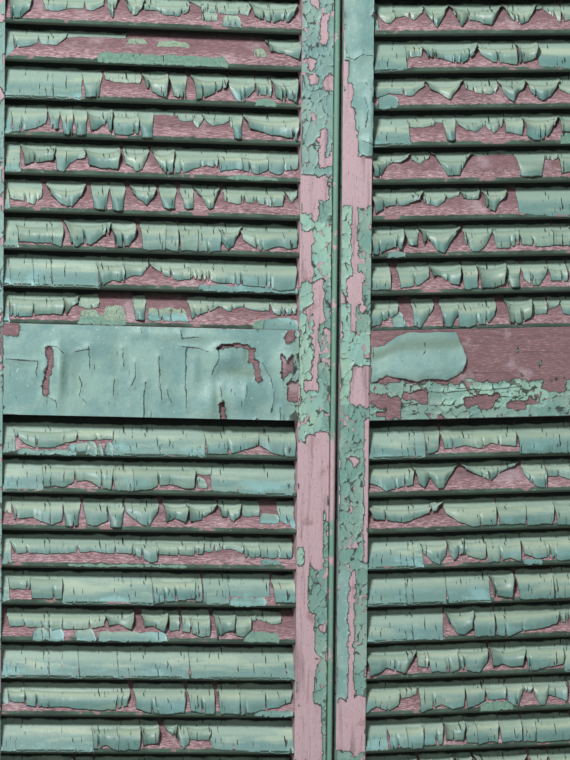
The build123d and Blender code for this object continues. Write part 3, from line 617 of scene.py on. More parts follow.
def slat_wood(name):
    """Bare slat wood: painted shade in the recess and on faces that look down, a green nose with wear
    and a painted highlight above it, and a painted back.
    """
    kept = colours()
    finish = Finish(name, 0.85)
    plain, broad, fine = wood_colour(finish, "X")
    ragged = finish.noise(finish.stretch(finish.place, (1, 2, 2)), 110, 6, 0.7)
    blotches = finish.noise(finish.place, 24, 4, 0.6)
    depth = finish.add(finish.axis(finish.place, "Y"), finish.times(ragged, 0.004))
    # Wear and a painted highlight: the wood goes paler on the slope above the nose.
    worn = finish.times(finish.step(depth, *WORN_AND_HIGHLIT_SLOPE), finish.step(fine, 0.45, 0.62))
    colour = finish.mix(finish.times(worn, 0.55), plain, BLEACHED_AND_HIGHLIT_WOOD)
    # Painted shade: the wood deep in the recess goes near-black, under the slat above.
    colour = finish.over(colour, kept.recess, depth, *RECESS_SHADE_DEPTHS)
    nose = finish.over(NOSE_DARK, NOSE_GREEN, blotches, 0.35, 0.6)
    nose = finish.over(nose, NOSE_MINT, ragged, 0.6, 0.72, 0.5)
    nose = finish.over(nose, NOSE_WOOD, blotches, 0.60, 0.64)
    colour = finish.over(colour, nose, depth, *PAINTED_NOSE)
    # Faces that look down are green paint, darkened with painted shade.
    colour = finish.over(colour, SLAT_UNDERSIDE_PAINT_AND_SHADE, finish.axis(finish.normal, "Z"), 0.1, -0.5)
    worn_back = finish.noise(finish.place, 35, 6, 0.65)
    back = finish.over(faded_green(finish), plain, worn_back, 0.56, 0.60)
    colour = finish.over(colour, back, finish.axis(finish.normal, "Y"), 0.2, 0.5)
    finish.bump(finish.add(fine, broad), 0.0012, 0.7)
    return finish.done(colour)


def board_wood(name, axis):
    """Wood of the rails and stiles, with old paint left on the sides and the back."""
    kept = colours()
    finish = Finish(name, 0.8)
    colour, broad, fine = wood_colour(finish, axis)
    cracks = finish.cracks(finish.stretch(finish.place, grain_scale(axis, 0.5, 1)), 70)
    painted = finish.over(kept.stile_green, kept.recess, cracks, 0.06, 0.0)
    painted = finish.over(painted, kept.top_shade, finish.noise(finish.place, 9), 0.4, 0.65)
    hidden = finish.step(finish.axis(finish.normal, "Y"), -0.75, -0.3)
    worn = finish.noise(finish.place, 28, 7, 0.65)
    left = finish.times(hidden, finish.step(worn, 0.6, 0.55))
    colour = finish.mix(left, colour, painted)
    finish.bump(finish.add(finish.add(fine, broad), left), 0.0009, 0.7)
    return finish.done(colour)


def frame_paint(name, axis):
    """Cracked top coat on the frame, peeled to the wood here and there."""
    finish = Finish(name, 0.55)
    wood, _, fine = wood_colour(finish, axis)
    worn = finish.noise(finish.stretch(finish.place, grain_scale(axis, 0.4, 1)), 34, 8, 0.68, 0.3)
    cracks = finish.cracks(finish.stretch(finish.place, grain_scale(axis, 0.45, 1)), 48)
    paint = finish.over(faded_green(finish), colours().mint, worn, 0.46, 0.52)
    some = finish.step(finish.noise(finish.place, 30, 3), 0.46, 0.6)
    paint = finish.mix(finish.times(finish.step(cracks, 0.035, 0.0), some), paint, CRACK_GREEN)
    bare = finish.step(worn, 0.53, 0.55)
    colour = finish.mix(bare, paint, wood)
    height = finish.times(finish.step(bare, 1, 0), finish.step(cracks, 0.0, 0.09))
    finish.bump(finish.add(height, finish.times(fine, 0.4)), 0.001, 0.8)
    return finish.done(colour)


def bead_wood(name):
    """Wood of the left meeting stile, whose bead is green apart from one bare stretch."""
    green = colours().stile_green
    finish = Finish(name, 0.75)
    wood, broad, fine = wood_colour(finish, "Z")
    height = finish.axis(finish.place, "Z")
    bare = finish.times(finish.step(height, *BARE_FROM), finish.step(height, *BARE_TO))
    chips = finish.step(finish.noise(finish.place, 60, 6, 0.7), 0.58, 0.62)
    paint = finish.mix(finish.noise(finish.place, 25), green, BEAD_GREEN)
    bead = finish.mix(finish.most(bare, chips), paint, wood)
    colour = finish.over(wood, bead, finish.axis(finish.place, "X"), *BEAD_SIDE)
    back = finish.times(finish.step(finish.axis(finish.normal, "Y"), 0.2, 0.6),
                        finish.step(finish.noise(finish.place, 28, 7), 0.6, 0.55))
    colour = finish.mix(back, colour, green)
    finish.bump(finish.add(fine, broad), 0.0012, 0.7)
    return finish.done(colour)


def iron(name):
    """Old iron: dull, with rust in spots."""
    kept = colours()
    finish = Finish(name, 0.6)
    spots = finish.noise(finish.place, 140, 7, 0.7)
    colour = finish.over(kept.iron, kept.rust, spots, 0.5, 0.66)
    colour = finish.over(colour, IRON_DUST, finish.noise(finish.place, 30, 4), 0.55, 0.75)
    finish.shader.inputs["Metallic"].default_value = 0.35
    finish.bump(spots, 0.0006, 0.6)
    return finish.done(colour)


def slat_paint(name):
    """Top coat on the slats: painted shade in the recess, painted light and sheen down the face,
    cracked down the slope, mint where it is thin.
    """
    kept = colours()
    finish = Finish(name, 0.45)
    place, lie = finish.place, finish.lie
    drift = finish.times(finish.add(finish.noise(place, 45, 5), -0.5), 0.16)
    drop = finish.add(finish.axis(lie, "Y"), drift)
    broad = finish.noise(finish.stretch(place, (0.5, 2.4, 2.4)), 16, 5, 0.6)
    speck = finish.noise(place, 260, 5, 0.7)
    streak = finish.noise(finish.stretch(lie, (420, 4, 1)), 1, 3, 0.6)
    # Painted light: the face goes from a lighter coat at the top to the darker top coat down the
    # slope.
    colour = finish.over(kept.top_shade, kept.top_coat, drop, 0.22, 0.62)
    # Painted sheen: a yellow band across the middle of the face, broken into patches, and a painted
    # highlight along each fold.
    glow = finish.times(finish.step(broad, 0.46, 0.62), finish.step(drop, 0.8, 0.45))
    glow = finish.times(finish.times(glow, finish.step(drop, 0.12, 0.3)), 0.432)
    glow = finish.most(glow, finish.times(finish.attribute("fold"), 0.6))
    colour = finish.mix(glow, colour, kept.yellowed)
    blue = finish.step(finish.noise(finish.stretch(place, (1, 2, 2)), 21, 4), 0.5, 0.66)
    colour = finish.mix(finish.times(blue, finish.step(drop, 0.35, 0.6)), colour, SLAT_BLUE)
    colour = finish.over(colour, SLAT_CHALK, streak, 0.58, 0.78, 0.22)
    colour = finish.over(colour, SLAT_STREAK, streak, 0.37, 0.27, 0.4)
    colour = finish.over(colour, SLAT_SPECK, speck, 0.62, 0.8)
    # Painted shade: the hanging part of a flake darkens toward its torn tip.
    colour = finish.mix(finish.times(finish.attribute("tip"), 0.8), colour, SLAT_TIP_SHADE)
    coat = finish.attribute("coat")
    faded = finish.over(FADED_DARK, FADED_LIGHT, speck, 0.4, 0.6)
    thin = finish.over(THIN_DARK, THIN_LIGHT, speck, 0.35, 0.7)
    colour = finish.over(colour, faded, coat, 0.2, 0.6)
    colour = finish.over(colour, thin, coat, 0.7, 0.9)
    hair = finish.noise(finish.stretch(lie, (330, 2.6, 1)), 1, 2, 0.5, 0.35)
    some = finish.step(finish.noise(place, 26, 3), 0.43, 0.51)
    split = finish.times(finish.step(hair, 0.364, 0.324), some)
    # Painted shadow along the torn edges, drawn with the hair cracks.
    split = finish.most(split, torn_edge_shadow(finish, speck, 0.80, 0.96))
    colour = finish.mix(finish.attribute("tone"), colour, SLAT_DUST)
    colour = finish.mix(split, colour, SLAT_CRACK_AND_EDGE_SHADOW)
    # Painted shade: the paint goes near-black at the top of the face, under the slat above.
    colour = finish.over(colour, kept.recess, drop, 0.05, 0.0)
    grain = finish.add(broad, finish.times(speck, 0.4))
    height = finish.add(finish.times(streak, 0.3), grain)
    finish.bump(finish.add(height, finish.times(split, -1.5)), 0.001, 0.6)
    return finish.done(colour)


def paint_back(name):
    """The underside of a flake and its torn rim, dark with painted shade, with a little wood torn off
    with it.
    """
    finish = Finish(name, 0.8)
    spots = finish.noise(finish.place, 90, 5)
    return finish.done(finish.over(SHADED_UNDERSIDE_GREEN, SHADED_UNDERSIDE_WOOD, spots, 0.42, 0.62))


def cell_paint(name):
    """Cracked paint on the stiles and rails: green, blue, smooth or mint by the coat value."""
    kept = colours()
    finish = Finish(name, 0.5)
    place = finish.place
    speck = finish.noise(place, 240, 6, 0.7)
    broad = finish.noise(place, 26, 6, 0.62)
    coat = finish.attribute("coat")
    colour = finish.over(kept.stile_green, kept.top_shade, broad, 0.38, 0.66)
    blue = finish.over(BOARD_BLUE, BOARD_PALE, broad, 0.35, 0.65)
    mint = finish.over(kept.mint, MINT_PALE, broad, 0.4, 0.6)
    colour = finish.over(colour, blue, coat, 0.1, 0.3)
    colour = finish.over(colour, mint, coat, 0.7, 0.9)
    colour = finish.over(colour, BOARD_SPECK, speck, 0.6, 0.78)
    colour = finish.over(colour, BOARD_CHALK, speck, 0.4, 0.28, 0.6)
    # Dust by each cell's random tone, and painted shade in the hollows.
    colour = finish.mix(finish.attribute("tone"), colour, BOARD_DUST_AND_HOLLOW_SHADE)
    seam = finish.add(finish.attribute("tip"), finish.times(speck, 0.35))
    some = finish.step(finish.noise(place, 55, 3), 0.36, 0.50)
    crack = finish.times(finish.step(seam, 0.88, 1.02), finish.times(some, 0.9))
    # Painted shadow along the torn edges, drawn with the cracks.
    crack = finish.most(crack, torn_edge_shadow(finish, speck, 0.84, 1.0))
    colour = finish.mix(crack, colour, BOARD_CRACK_AND_EDGE_SHADOW)
    hair = finish.noise(finish.stretch(place, (240, 240, 22)), 1, 3, 0.6, 0.4)
    some = finish.step(finish.noise(place, 30, 3), 0.5, 0.58)
    colour = finish.mix(finish.times(finish.step(hair, 0.36, 0.31), some), colour, CRACK_GREEN)
    finish.bump(finish.add(speck, finish.times(broad, 3.0)), 0.001, 0.6)
    return finish.done(colour)


def material(maker, name, *details):
    """A material by its name, made once."""
    return bpy.data.materials.get(name) or maker(name, *details)


def coat_finishes(maker, name):
    """The face and the underside of a coat of paint."""
    return material(maker, name), material(paint_back, "Underside of the paint")


def wavy(rng, count, every, size):
    """Slow random values along a line of points."""
    knots = max(2, count // every + 2)
    return np.interp(np.linspace(0, 1, count), np.linspace(0, 1, knots),
                     [rng.uniform(-size, size) for _ in range(knots)])


def torn_edge(rng, count, drops):
    """The line where a flake has torn off, with the small teeth of brittle paint."""
    line = np.interp(np.linspace(0, 1, count), np.linspace(0, 1, len(drops)), drops)
    teeth = np.array([rng.uniform(-0.5, 0.5) for _ in range(count)])
    notches = np.array([rng.uniform(3, 11) if rng.random() < NOTCH_CHANCE else 0
                        for _ in range(count)])
    if min(drops) > WHOLE_DROP:
        notches = notches * 0.2
    return line + teeth + wavy(rng, count, 5, 1.0) - notches


def patch_points(reach):
    """How many points lie along a patch of paint on a slat."""
    return max(4, round(reach / (sizes().column / MM)) + 1)


def patch(place, lie, coat=0.0, tip=0.0, fold=0.0, tone=0.0, edge=0.0):
    """The points of a patch of paint in mm, with the values that its finish reads."""
    none = np.zeros(place.shape[:2])
    return {"place": place, "lie": np.stack([part + none for part in lie], axis=-1),
            "coat": coat + none, "tip": tip + none, "fold": fold + none, "tone": tone + none,
            "edge": edge + none}


def slat_surface(slat, along, drop, lift, wraps):
    """Points on a slat's face, or off it by a lift along its normal."""
    x = slat["start"] + along
    corner = slat["corner"] + slat["slope"] * (x - slat["middle"])
    rise = CORNER_DROP - (drop if wraps else drop + lift * SLAT_SIN)
    y = NOSE_Y + rise * SLAT_TAN - lift * SLAT_COS
    z = corner + rise + lift * SLAT_SIN
    if wraps:
        turn = np.clip((drop - ROUND_DROP) / ROUND_SPAN, 0, 1.1) * math.pi / 2
        reach = NOSE_RADIUS + lift
        centre_y = NOSE_Y + NOSE_RADIUS * (SLAT_SIN + SLAT_COS)
        centre_z = corner + NOSE_RADIUS * (SLAT_COS - SLAT_SIN)
        round_y = centre_y - reach * (np.cos(turn) * SLAT_COS + np.sin(turn) * SLAT_SIN)
        round_z = centre_z + reach * (np.cos(turn) * SLAT_SIN - np.sin(turn) * SLAT_COS)
        y = np.where(drop > ROUND_DROP, round_y, y)
        z = np.where(drop > ROUND_DROP, round_z, z)
    return np.stack([x, y, z], axis=-1)


def flake_lift(rng, form, share, fall, tear, hang):
    """How far each point of a flake stands off the wood, in mm: most at its fold and its ears."""
    kept = sizes()
    side = np.abs(2 * share - 1)
    reach = np.clip(hang / 20, 0.3, 1.1)
    flat = kept.flat_lift / MM
    deep = tear.max()
    ear = np.clip((deep - tear) / deep, 0, 0.6) * side
    fold = np.sin(math.pi * fall ** 0.6)
    if form == "f":
        return flat + 0.6 * fall ** 3 * side ** 4
    if form == "s":
        high = kept.sheet_lift / MM * rng.uniform(0.7, 1.25)
        return flat + reach * (high * fold + 1.1 * fall ** 2) + 5 * ear * fall
    if form == "c":
        high = kept.curl_lift / MM * rng.uniform(0.75, 1.1)
        return (flat + reach * (high * fold * (0.8 + 0.3 * side ** 2) + 2.2 * fall ** 2)
                + 8 * ear * fall + 1.5 * side ** 4 * fall)
    if form == "t":
        high = kept.tube_lift / MM * rng.uniform(0.85, 1.15)
        arch = np.sin(math.pi * share) ** 0.6
        return flat + high * arch * np.clip(2.5 * fall, 0, 1) + 1.5 * (1 - arch) * fold
    high = kept.curl_lift / MM * rng.uniform(0.7, 1.0)
    return flat + reach * (high * fold + 3.0 * fall ** 2) + 8 * ear * fall


# The edge value from these rims draws a painted shadow along a flake's torn edges.
def rims(grid, amount):
    """1 on the points along the sides and the torn end of a flake, 0 elsewhere."""
    edge = np.zeros(grid.shape)
    edge[[0, -1], RECESS_ROWS:] = 1
    edge[:, -1] = amount
    return edge


def flake_patch(rng, slat, form, start, end, drops):
    """One flake that hangs from the recess down to its torn edge."""
    count = patch_points(end - start)
    share = np.linspace(0, 1, count)[:, None]
    tear = np.maximum(torn_edge(rng, count, drops)[:, None], LEAST_DROP)
    wraps = form == "f"
    side = np.abs(2 * share - 1)
    ears = np.where(share > 0.5, rng.uniform(0.5, 1.1), rng.uniform(0.5, 1.1))
    attach = np.minimum(ATTACH_DROP * rng.uniform(0.85, 1.25), 0.55 * tear)
    attach = attach * (1.1 - EAR_RISE.get(form, 0) * ears * side ** 2.2)
    hang = tear - attach
    upper = np.linspace(0, 1, RECESS_ROWS)[None, :-1]
    lower = np.linspace(0, 1, SLAT_ROWS - RECESS_ROWS + 1)[None, :] ** 1.15
    drop = np.concatenate([RECESS_DROP + (attach - RECESS_DROP) * upper, attach + hang * lower],
                          axis=1)
    fall = np.clip((drop - attach) / hang, 0, 1)
    lift = flake_lift(rng, form, share, fall, tear, hang)
    above = np.clip((drop - RECESS_DROP) / (attach - RECESS_DROP), 0, 1)
    raised = EAR_LIFT.get(form, 0) * ears * side ** 4
    lift = lift + raised * np.where(fall > 0, (1 - fall) ** 1.5, above ** 3)
    lean = wavy(rng, SLAT_ROWS, 3, 0.7)[None, :] + rng.uniform(-1.5, 1.5) * fall
    narrow = 1 + min(0.10, 3.0 / (end - start)) * (1 - fall)
    narrow = narrow - CURLED_IN.get(form, 0) * np.sin(1.9 * fall)
    if not wraps:
        narrow = narrow - min(0.3, 7 / (end - start)) * (1 - above)
    middle = (start + end) / 2
    along = middle + (start + (end - start) * share - middle) * narrow + lean
    along = np.clip(along, SIDE_GAP, slat["length"] - SIDE_GAP)
    # Painted highlight along the fold where the flake leaves the wood.
    fold = np.exp(-((fall - 0.16) / 0.15) ** 2) * (0.25 if wraps else rng.uniform(0.5, 1))
    return patch(slat_surface(slat, along, drop, lift, wraps), (along * MM, drop / SLOPE_SPAN),
                 tip=fall ** 1.3 * TIP_SHADES[form], fold=fold, tone=rng.uniform(0, 0.25),
                 edge=rims(drop, 0 if wraps else 1))


def plate_patch(rng, slat, form, start, end, top, bottom):
    """A plate of paint that is left on the bare wood below the flakes."""
    count = patch_points(end - start)
    share = np.linspace(0, 1, count)[:, None]
    rows = np.linspace(0, 1, SLAT_ROWS)[None, :]
    ends = np.clip(np.minimum(share, 1 - share) * (end - start) / 5, 0, 1)
    low = torn_edge(rng, count, [bottom])[:, None]
    high = low - (low - top) * (0.35 + 0.65 * ends ** 0.5) + wavy(rng, count, 4, 1.6)[:, None]
    high = np.minimum(high, low - 1.5)
    drop = high + (low - high) * rows
    rim = np.maximum(np.abs(2 * rows - 1), 1 - ends) ** 3
    coat, rest, rise = PLATES[form]
    along = start + (end - start) * share + wavy(rng, SLAT_ROWS, 3, 0.9)[None, :]
    along = np.clip(along, SIDE_GAP, slat["length"] - SIDE_GAP)
    return patch(slat_surface(slat, along, drop, rest + rise * rim, True),
                 (along * MM, drop / SLOPE_SPAN), coat=coat, tone=rng.uniform(0, 0.3),
                 edge=rims(drop, 0) * (form == "p"))


def more_flakes(rng, start, end):
    """Flakes for the stretches that nothing shows, like those beside them."""
    made = []
    place = start + rng.uniform(0, 3)
    while place < end - LEAST_WIDTH:
        width = min(rng.uniform(USUAL_WIDTH, WIDEST), end - place)
        deep = rng.uniform(18, 38)
        drops = [min(WHOLE_SLAT, max(8, deep + rng.uniform(-7, 7)))
                 for _ in range(3 + int(width // USUAL_WIDTH))]
        form = rng.choice("sssccvtf")
        if form == "t":
            width, drops = min(width, WIDEST_TUBE), [deep]
        if form == "f":
            drops = [WHOLE_SLAT]
        made.append((form, place, place + width, *drops))
        if form != "f" and rng.random() < 0.35:
            made.append((rng.choice("mp"), place, place + width, min(deep + 5, 36), WHOLE_SLAT))
        place += width + rng.uniform(0.5, 7)
    return made


def paint_piece(name, body, patches, finishes):
    """One grid, cut into patches and laid on the wood point by point, with a wall."""
    merged = {key: np.concatenate([part[key] for part in patches])[:, ::-1]
              for key in ("place", "lie", *POINT_VALUES)}
    place, lie = merged["place"], merged["lie"]
    columns, rows = merged["coat"].shape
    bpy.ops.object.select_all(action="DESELECT")
    bpy.ops.mesh.primitive_grid_add(x_subdivisions=columns - 1, y_subdivisions=rows - 1, size=1)
    piece = bpy.context.object
    piece.name = name
    mesh = piece.data
    flat = np.empty(len(mesh.vertices) * 3)
    mesh.vertices.foreach_get("co", flat)
    flat = flat.reshape(-1, 3)
    column = np.rint((flat[:, 0] + 0.5) * (columns - 1)).astype(int)
    row = np.rint((flat[:, 1] + 0.5) * (rows - 1)).astype(int)
    corners = np.empty(len(mesh.loops), dtype=np.int32)
    mesh.loops.foreach_get("vertex_index", corners)
    mesh.vertices.foreach_set("co", (place[column, row] * MM).ravel())
    mesh.uv_layers.active.data.foreach_set("uv", lie[column[corners], row[corners]].ravel())
    for key in POINT_VALUES:
        values = mesh.attributes.new(key, "FLOAT", "POINT")
        values.data.foreach_set("value", merged[key][column, row])
    cuts = np.cumsum([part["coat"].shape[0] for part in patches])[:-1] - 1
    gone = np.zeros((columns - 1, rows - 1), dtype=bool)
    gone[cuts] = True
    if "gone" in patches[0]:
        gone |= patches[0]["gone"][:, ::-1]
    remove_faces(mesh, gone[column[corners].reshape(-1, 4).min(axis=1),
                            row[corners].reshape(-1, 4).min(axis=1)])
    for finish in finishes:
        mesh.materials.append(finish)
    wall = piece.modifiers.new("Wall", "SOLIDIFY")
    wall.thickness = sizes().coat
    wall.offset = -1
    # The underside and the rim take the second finish, dark with painted shade, so each torn edge
    # shows a dark line.
    wall.material_offset = 1
    wall.material_offset_rim = 1
    bpy.ops.object.modifier_apply(modifier=wall.name)
    bpy.ops.object.shade_smooth_by_angle(angle=PAINT_SMOOTH)
    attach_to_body(piece, body)


def remove_faces(mesh, between):
    """Delete the faces of the active mesh that lie between patches or over bare wood."""
    bpy.ops.object.mode_set(mode="EDIT")
    bpy.ops.mesh.select_mode(type="FACE")
    bpy.ops.mesh.select_all(action="DESELECT")
    bpy.ops.object.mode_set(mode="OBJECT")
    mesh.polygons.foreach_set("select", between)
    bpy.ops.object.mode_set(mode="EDIT")
    if between.any():
        bpy.ops.mesh.delete(type="FACE")
    bpy.ops.object.mode_set(mode="OBJECT")


def slat_places(leaf):
    """Where each slat of a leaf lies: its opening, its slope and its front corner's height."""
    left = leaf == "left"
    rack = sizes().left_rack if left else sizes().right_rack
    first, second = ("hinge", "meeting") if left else ("meeting", "hinge")
    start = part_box(f"{leaf}_{first}_stile")[1].x / MM
    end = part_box(f"{leaf}_{second}_stile")[0].x / MM
    pitch = (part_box(f"{leaf}_slat_04")[0].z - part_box(f"{leaf}_slat_05")[0].z) / MM
    places = {}
    for number in range(1, SLATS + 1):
        known = UPPER_SLAT if number <= UPPER_SLATS else LOWER_SLAT
        low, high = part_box(f"{leaf}_slat_{known:02d}")
        nose = low.z / MM + (high.x - low.x) / 2 / MM * abs(math.tan(rack)) - NOSE_ROUNDING
        places[number] = {"start": start, "length": end - start, "middle": (start + end) / 2,
                          "slope": -math.tan(rack),
                          "corner": nose + EDGE_HEIGHT + pitch * (known - number)}
    return places


def paint_slats(leaf, flakes):
    """The paint of each slat of a leaf."""
    finishes = coat_finishes(slat_paint, "Peeling slat paint")
    for number, slat in slat_places(leaf).items():
        rng = random.Random(f"{leaf} slat {number}")
        listed = list(flakes.get(number, []))
        reach = max([flake[2] for flake in listed], default=0)
        if reach < slat["length"] - OPEN_STRETCH:
            listed += more_flakes(rng, reach, slat["length"])
        patches = []
        for form, start, end, *drops in listed:
            if form in PLATES:
                patches.append(plate_patch(rng, slat, form, start, end, *drops))
            else:
                patches.append(flake_patch(rng, slat, form, start, end, drops))
        paint_piece(f"{leaf}_slat_paint_{number:02d}", f"{leaf}_leaf", patches, finishes)


def field(noise, shape, cell):
    """Soft random values over a grid, one new value each so many points."""
    knots = [max(2, int(count / cell) + 2) for count in shape]
    coarse = noise.uniform(-1, 1, knots)
    lines = [np.linspace(0, knot - 1, count) for knot, count in zip(knots, shape)]
    across = np.array([np.interp(lines[0], np.arange(knots[0]), coarse[:, knot])
                       for knot in range(knots[1])]).T
    return np.array([np.interp(lines[1], np.arange(knots[1]), line) for line in across])


def nearest_cells(noise, x, z, board):
    """For each point, its cell of cracked paint and how far it is from the cell's edge."""
    size = sizes().cell / MM
    wide, tall = board["right"] - board["left"], board["top"] - board["bottom"]
    count = max(4, int(wide * tall / size ** 2 / CELL_AREA))
    seeds = noise.uniform(0, 1, (count, 2)) * [wide, tall] + [board["left"], board["bottom"]]
    scale = [1, CELL_STRETCH] if board["grain"] == "Z" else [CELL_STRETCH, 1]
    points = np.stack([x.ravel(), z.ravel()], axis=1) * scale
    seeds = seeds * scale
    cell = np.empty(len(points), dtype=int)
    edge = np.empty(len(points))
    for begin in range(0, len(points), POINTS_AT_ONCE):
        some = slice(begin, begin + POINTS_AT_ONCE)
        part = points[some]
        far = np.hypot(part[:, None, 0] - seeds[None, :, 0], part[:, None, 1] - seeds[None, :, 1])
        order = np.argpartition(far, 1, axis=1)[:, :2]
        pair = np.take_along_axis(far, order, axis=1)
        cell[some] = np.take_along_axis(order, pair.argmin(axis=1)[:, None], 1)[:, 0]
        edge[some] = np.abs(pair[:, 0] - pair[:, 1])
    return cell.reshape(x.shape), edge.reshape(x.shape), count


def crack_distance(line, x, z):
    """How far each point is from a crack, given as x and height of its corners in turn."""
    corners = list(zip(line[::2], line[1::2]))
    nearest = np.full(x.shape, 1e3)
    for (x_0, z_0), (x_1, z_1) in zip(corners, corners[1:]):
        run, climb = x_1 - x_0, z_1 - z_0
        along = np.clip(((x - x_0) * run + (z - z_0) * climb) / (run ** 2 + climb ** 2), 0, 1)
        nearest = np.minimum(nearest, np.hypot(x - x_0 - along * run, z - z_0 - along * climb))
    return nearest


def board_points(board, spacing):
    """A grid of points over a board, as x and z in mm."""
    wide, tall = board["right"] - board["left"], board["top"] - board["bottom"]
    shape = (int(wide / spacing) + 1, int(tall / spacing) + 1)
    across = np.linspace(0, 1, shape[0])[:, None]
    down = np.linspace(0, 1, shape[1])[None, :]
    x = board["left"] + BOARD_GAP + (wide - 2 * BOARD_GAP) * across + np.zeros(shape)
    z = board["top"] - BOARD_GAP - (tall - 2 * BOARD_GAP) * down + np.zeros(shape)
    return x, z


def board_zones(noise, board, zones, x, z):
    """Where a board is painted, with which coat, how calm it lies, and its patchiness."""
    shape = x.shape
    share = (x - board["left"]) / (board["right"] - board["left"])
    patchy = field(noise, shape, 16) + 0.6 * field(noise, shape, 6) + 0.3 * field(noise, shape, 2.5)
    painted = patchy > np.quantile(patchy, BARE_SHARE)
    coat = np.where(field(noise, shape, 30) > 0.1, COATS["blue"], COATS["green"])
    coat = np.where(field(noise, shape, 24) > 0.35, COATS["mint"], coat)
    calm = np.zeros(shape)
    for kind, left, right, top, bottom in zones:
        inside = (share >= left) & (share <= right) & (z <= top) & (z >= bottom)
        painted = np.where(inside, kind != "bare", painted)
        coat = np.where(inside, COATS[kind], coat)
        calm = np.where(inside, float(kind == "smooth"), calm)
    return painted, coat, calm, patchy


def torn_rim(bare):
    """1 on bare wood, and less on each of the three points beside it."""
    rim = bare.astype(float)
    for reach in (1.0, 0.5, 0.2):
        grown = np.zeros(rim.shape)
        for axis in (0, 1):
            for step in (-1, 1):
                grown = np.maximum(grown, np.where(np.roll(rim, step, axis) >= reach, reach, 0))
        rim = np.where(rim == 0, grown * 0.6, rim)
    return rim


def board_coat(name, board, zones, spacing):
    """Cracked paint over a board: zones of bare wood, cells that cup, and torn edges."""
    noise = np.random.default_rng(random.Random(name).getrandbits(32))
    x, z = board_points(board, spacing)
    shape = x.shape
    warp = [2.6 * field(noise, shape, 9) + 1.8 * field(noise, shape, 3) for _ in range(2)]
    painted, coat, calm, patchy = board_zones(noise, board, zones, x + warp[0],
                                              z + 1.8 * warp[1])
    swirl = [2.2 * field(noise, shape, 3.5) for _ in range(2)]
    cell, edge, count = nearest_cells(noise, x + swirl[0], z + warp[1] + swirl[1], board)
    lost = (noise.random(count) < LOST_CELLS)[cell] & (calm < 0.5)
    bare = ~painted | lost
    cup = noise.choice(CELL_CUPS, count)[cell]
    split = (noise.choice(CELL_SPLITS, count) * spacing)[cell]
    near = np.clip(1 - edge / 3.5, 0, 1) ** 2
    rim = torn_rim(bare)
    curl = np.clip(field(noise, shape, 7) + 0.3, 0, 1)
    lift = 0.45 + (1 - calm) * cup * near + rim * (0.5 + 1.6 * curl) + 0.25 * patchy
    hollow_shade = np.zeros(shape)
    for middle, level, reach, tall_reach, high in board["bulges"]:
        bulge = np.exp(-np.hypot((x - board["left"] - middle) / reach, (z - level) / tall_reach) ** 2)
        lift = lift + BULGE_HEIGHT * high * bulge
        # A hollow takes painted shade through the tone.
        hollow_shade = hollow_shade + HOLLOW_SHADE * max(0, -high) * bulge
    # Painted shadow along the torn rims of the bare zones, then dark lines along the listed cracks.
    edge_line = np.where(rim > 0.5, 1.0, np.where(rim > 0.25, 0.45, 0.0))
    for line in board["cracks"]:
        far = crack_distance(line, x - board["left"] + 0.5 * swirl[0], z)
        edge_line = np.maximum(edge_line, 1.3 - far / spacing + 0.15 * patchy)
        lift = lift + CRACK_LIFT * np.exp(-(far / CRACK_REACH) ** 2)
    lift = np.clip(lift, 0.2, DEEPEST_LIFT)
    jitter = spacing * 0.28
    x[1:-1, 1:-1] += noise.uniform(-jitter, jitter, (shape[0] - 2, shape[1] - 2))
    z[1:-1, 1:-1] += noise.uniform(-jitter, jitter, (shape[0] - 2, shape[1] - 2))
    z = z + board["slope"] * (x - board["middle"])
    hole = bare | ((edge < split) & (calm < 0.5))
    corners = (hole[:-1, :-1], hole[1:, :-1], hole[:-1, 1:], hole[1:, 1:])
    # Random tone of each cell, plus the painted shade of the hollows.
    tone = np.clip(noise.uniform(0, 0.3, count)[cell] * (1 - calm) + hollow_shade, 0, 1)
    made = patch(np.stack([x, board["face"] - lift, z], axis=-1), (x * MM, z * MM), coat=coat,
                 tip=(1 - calm) * np.clip(1 - edge / 3.2, 0, 1), tone=tone,
                 edge=np.clip(edge_line, 0, 1))
    made["gone"] = sum(part.astype(int) for part in corners) >= 2
    return made


def board_of(node, left=None, right=None, slope=0.0):
    """The front face of a stile or a rail."""
    low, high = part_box(node)
    left = low.x / MM if left is None else left
    right = high.x / MM if right is None else right
    return {"left": left, "right": right, "bottom": low.z / MM, "top": high.z / MM,
            "face": FRONT_Y, "slope": slope, "middle": (left + right) / 2, "grain": "Z",
            "bulges": (), "cracks": ()}


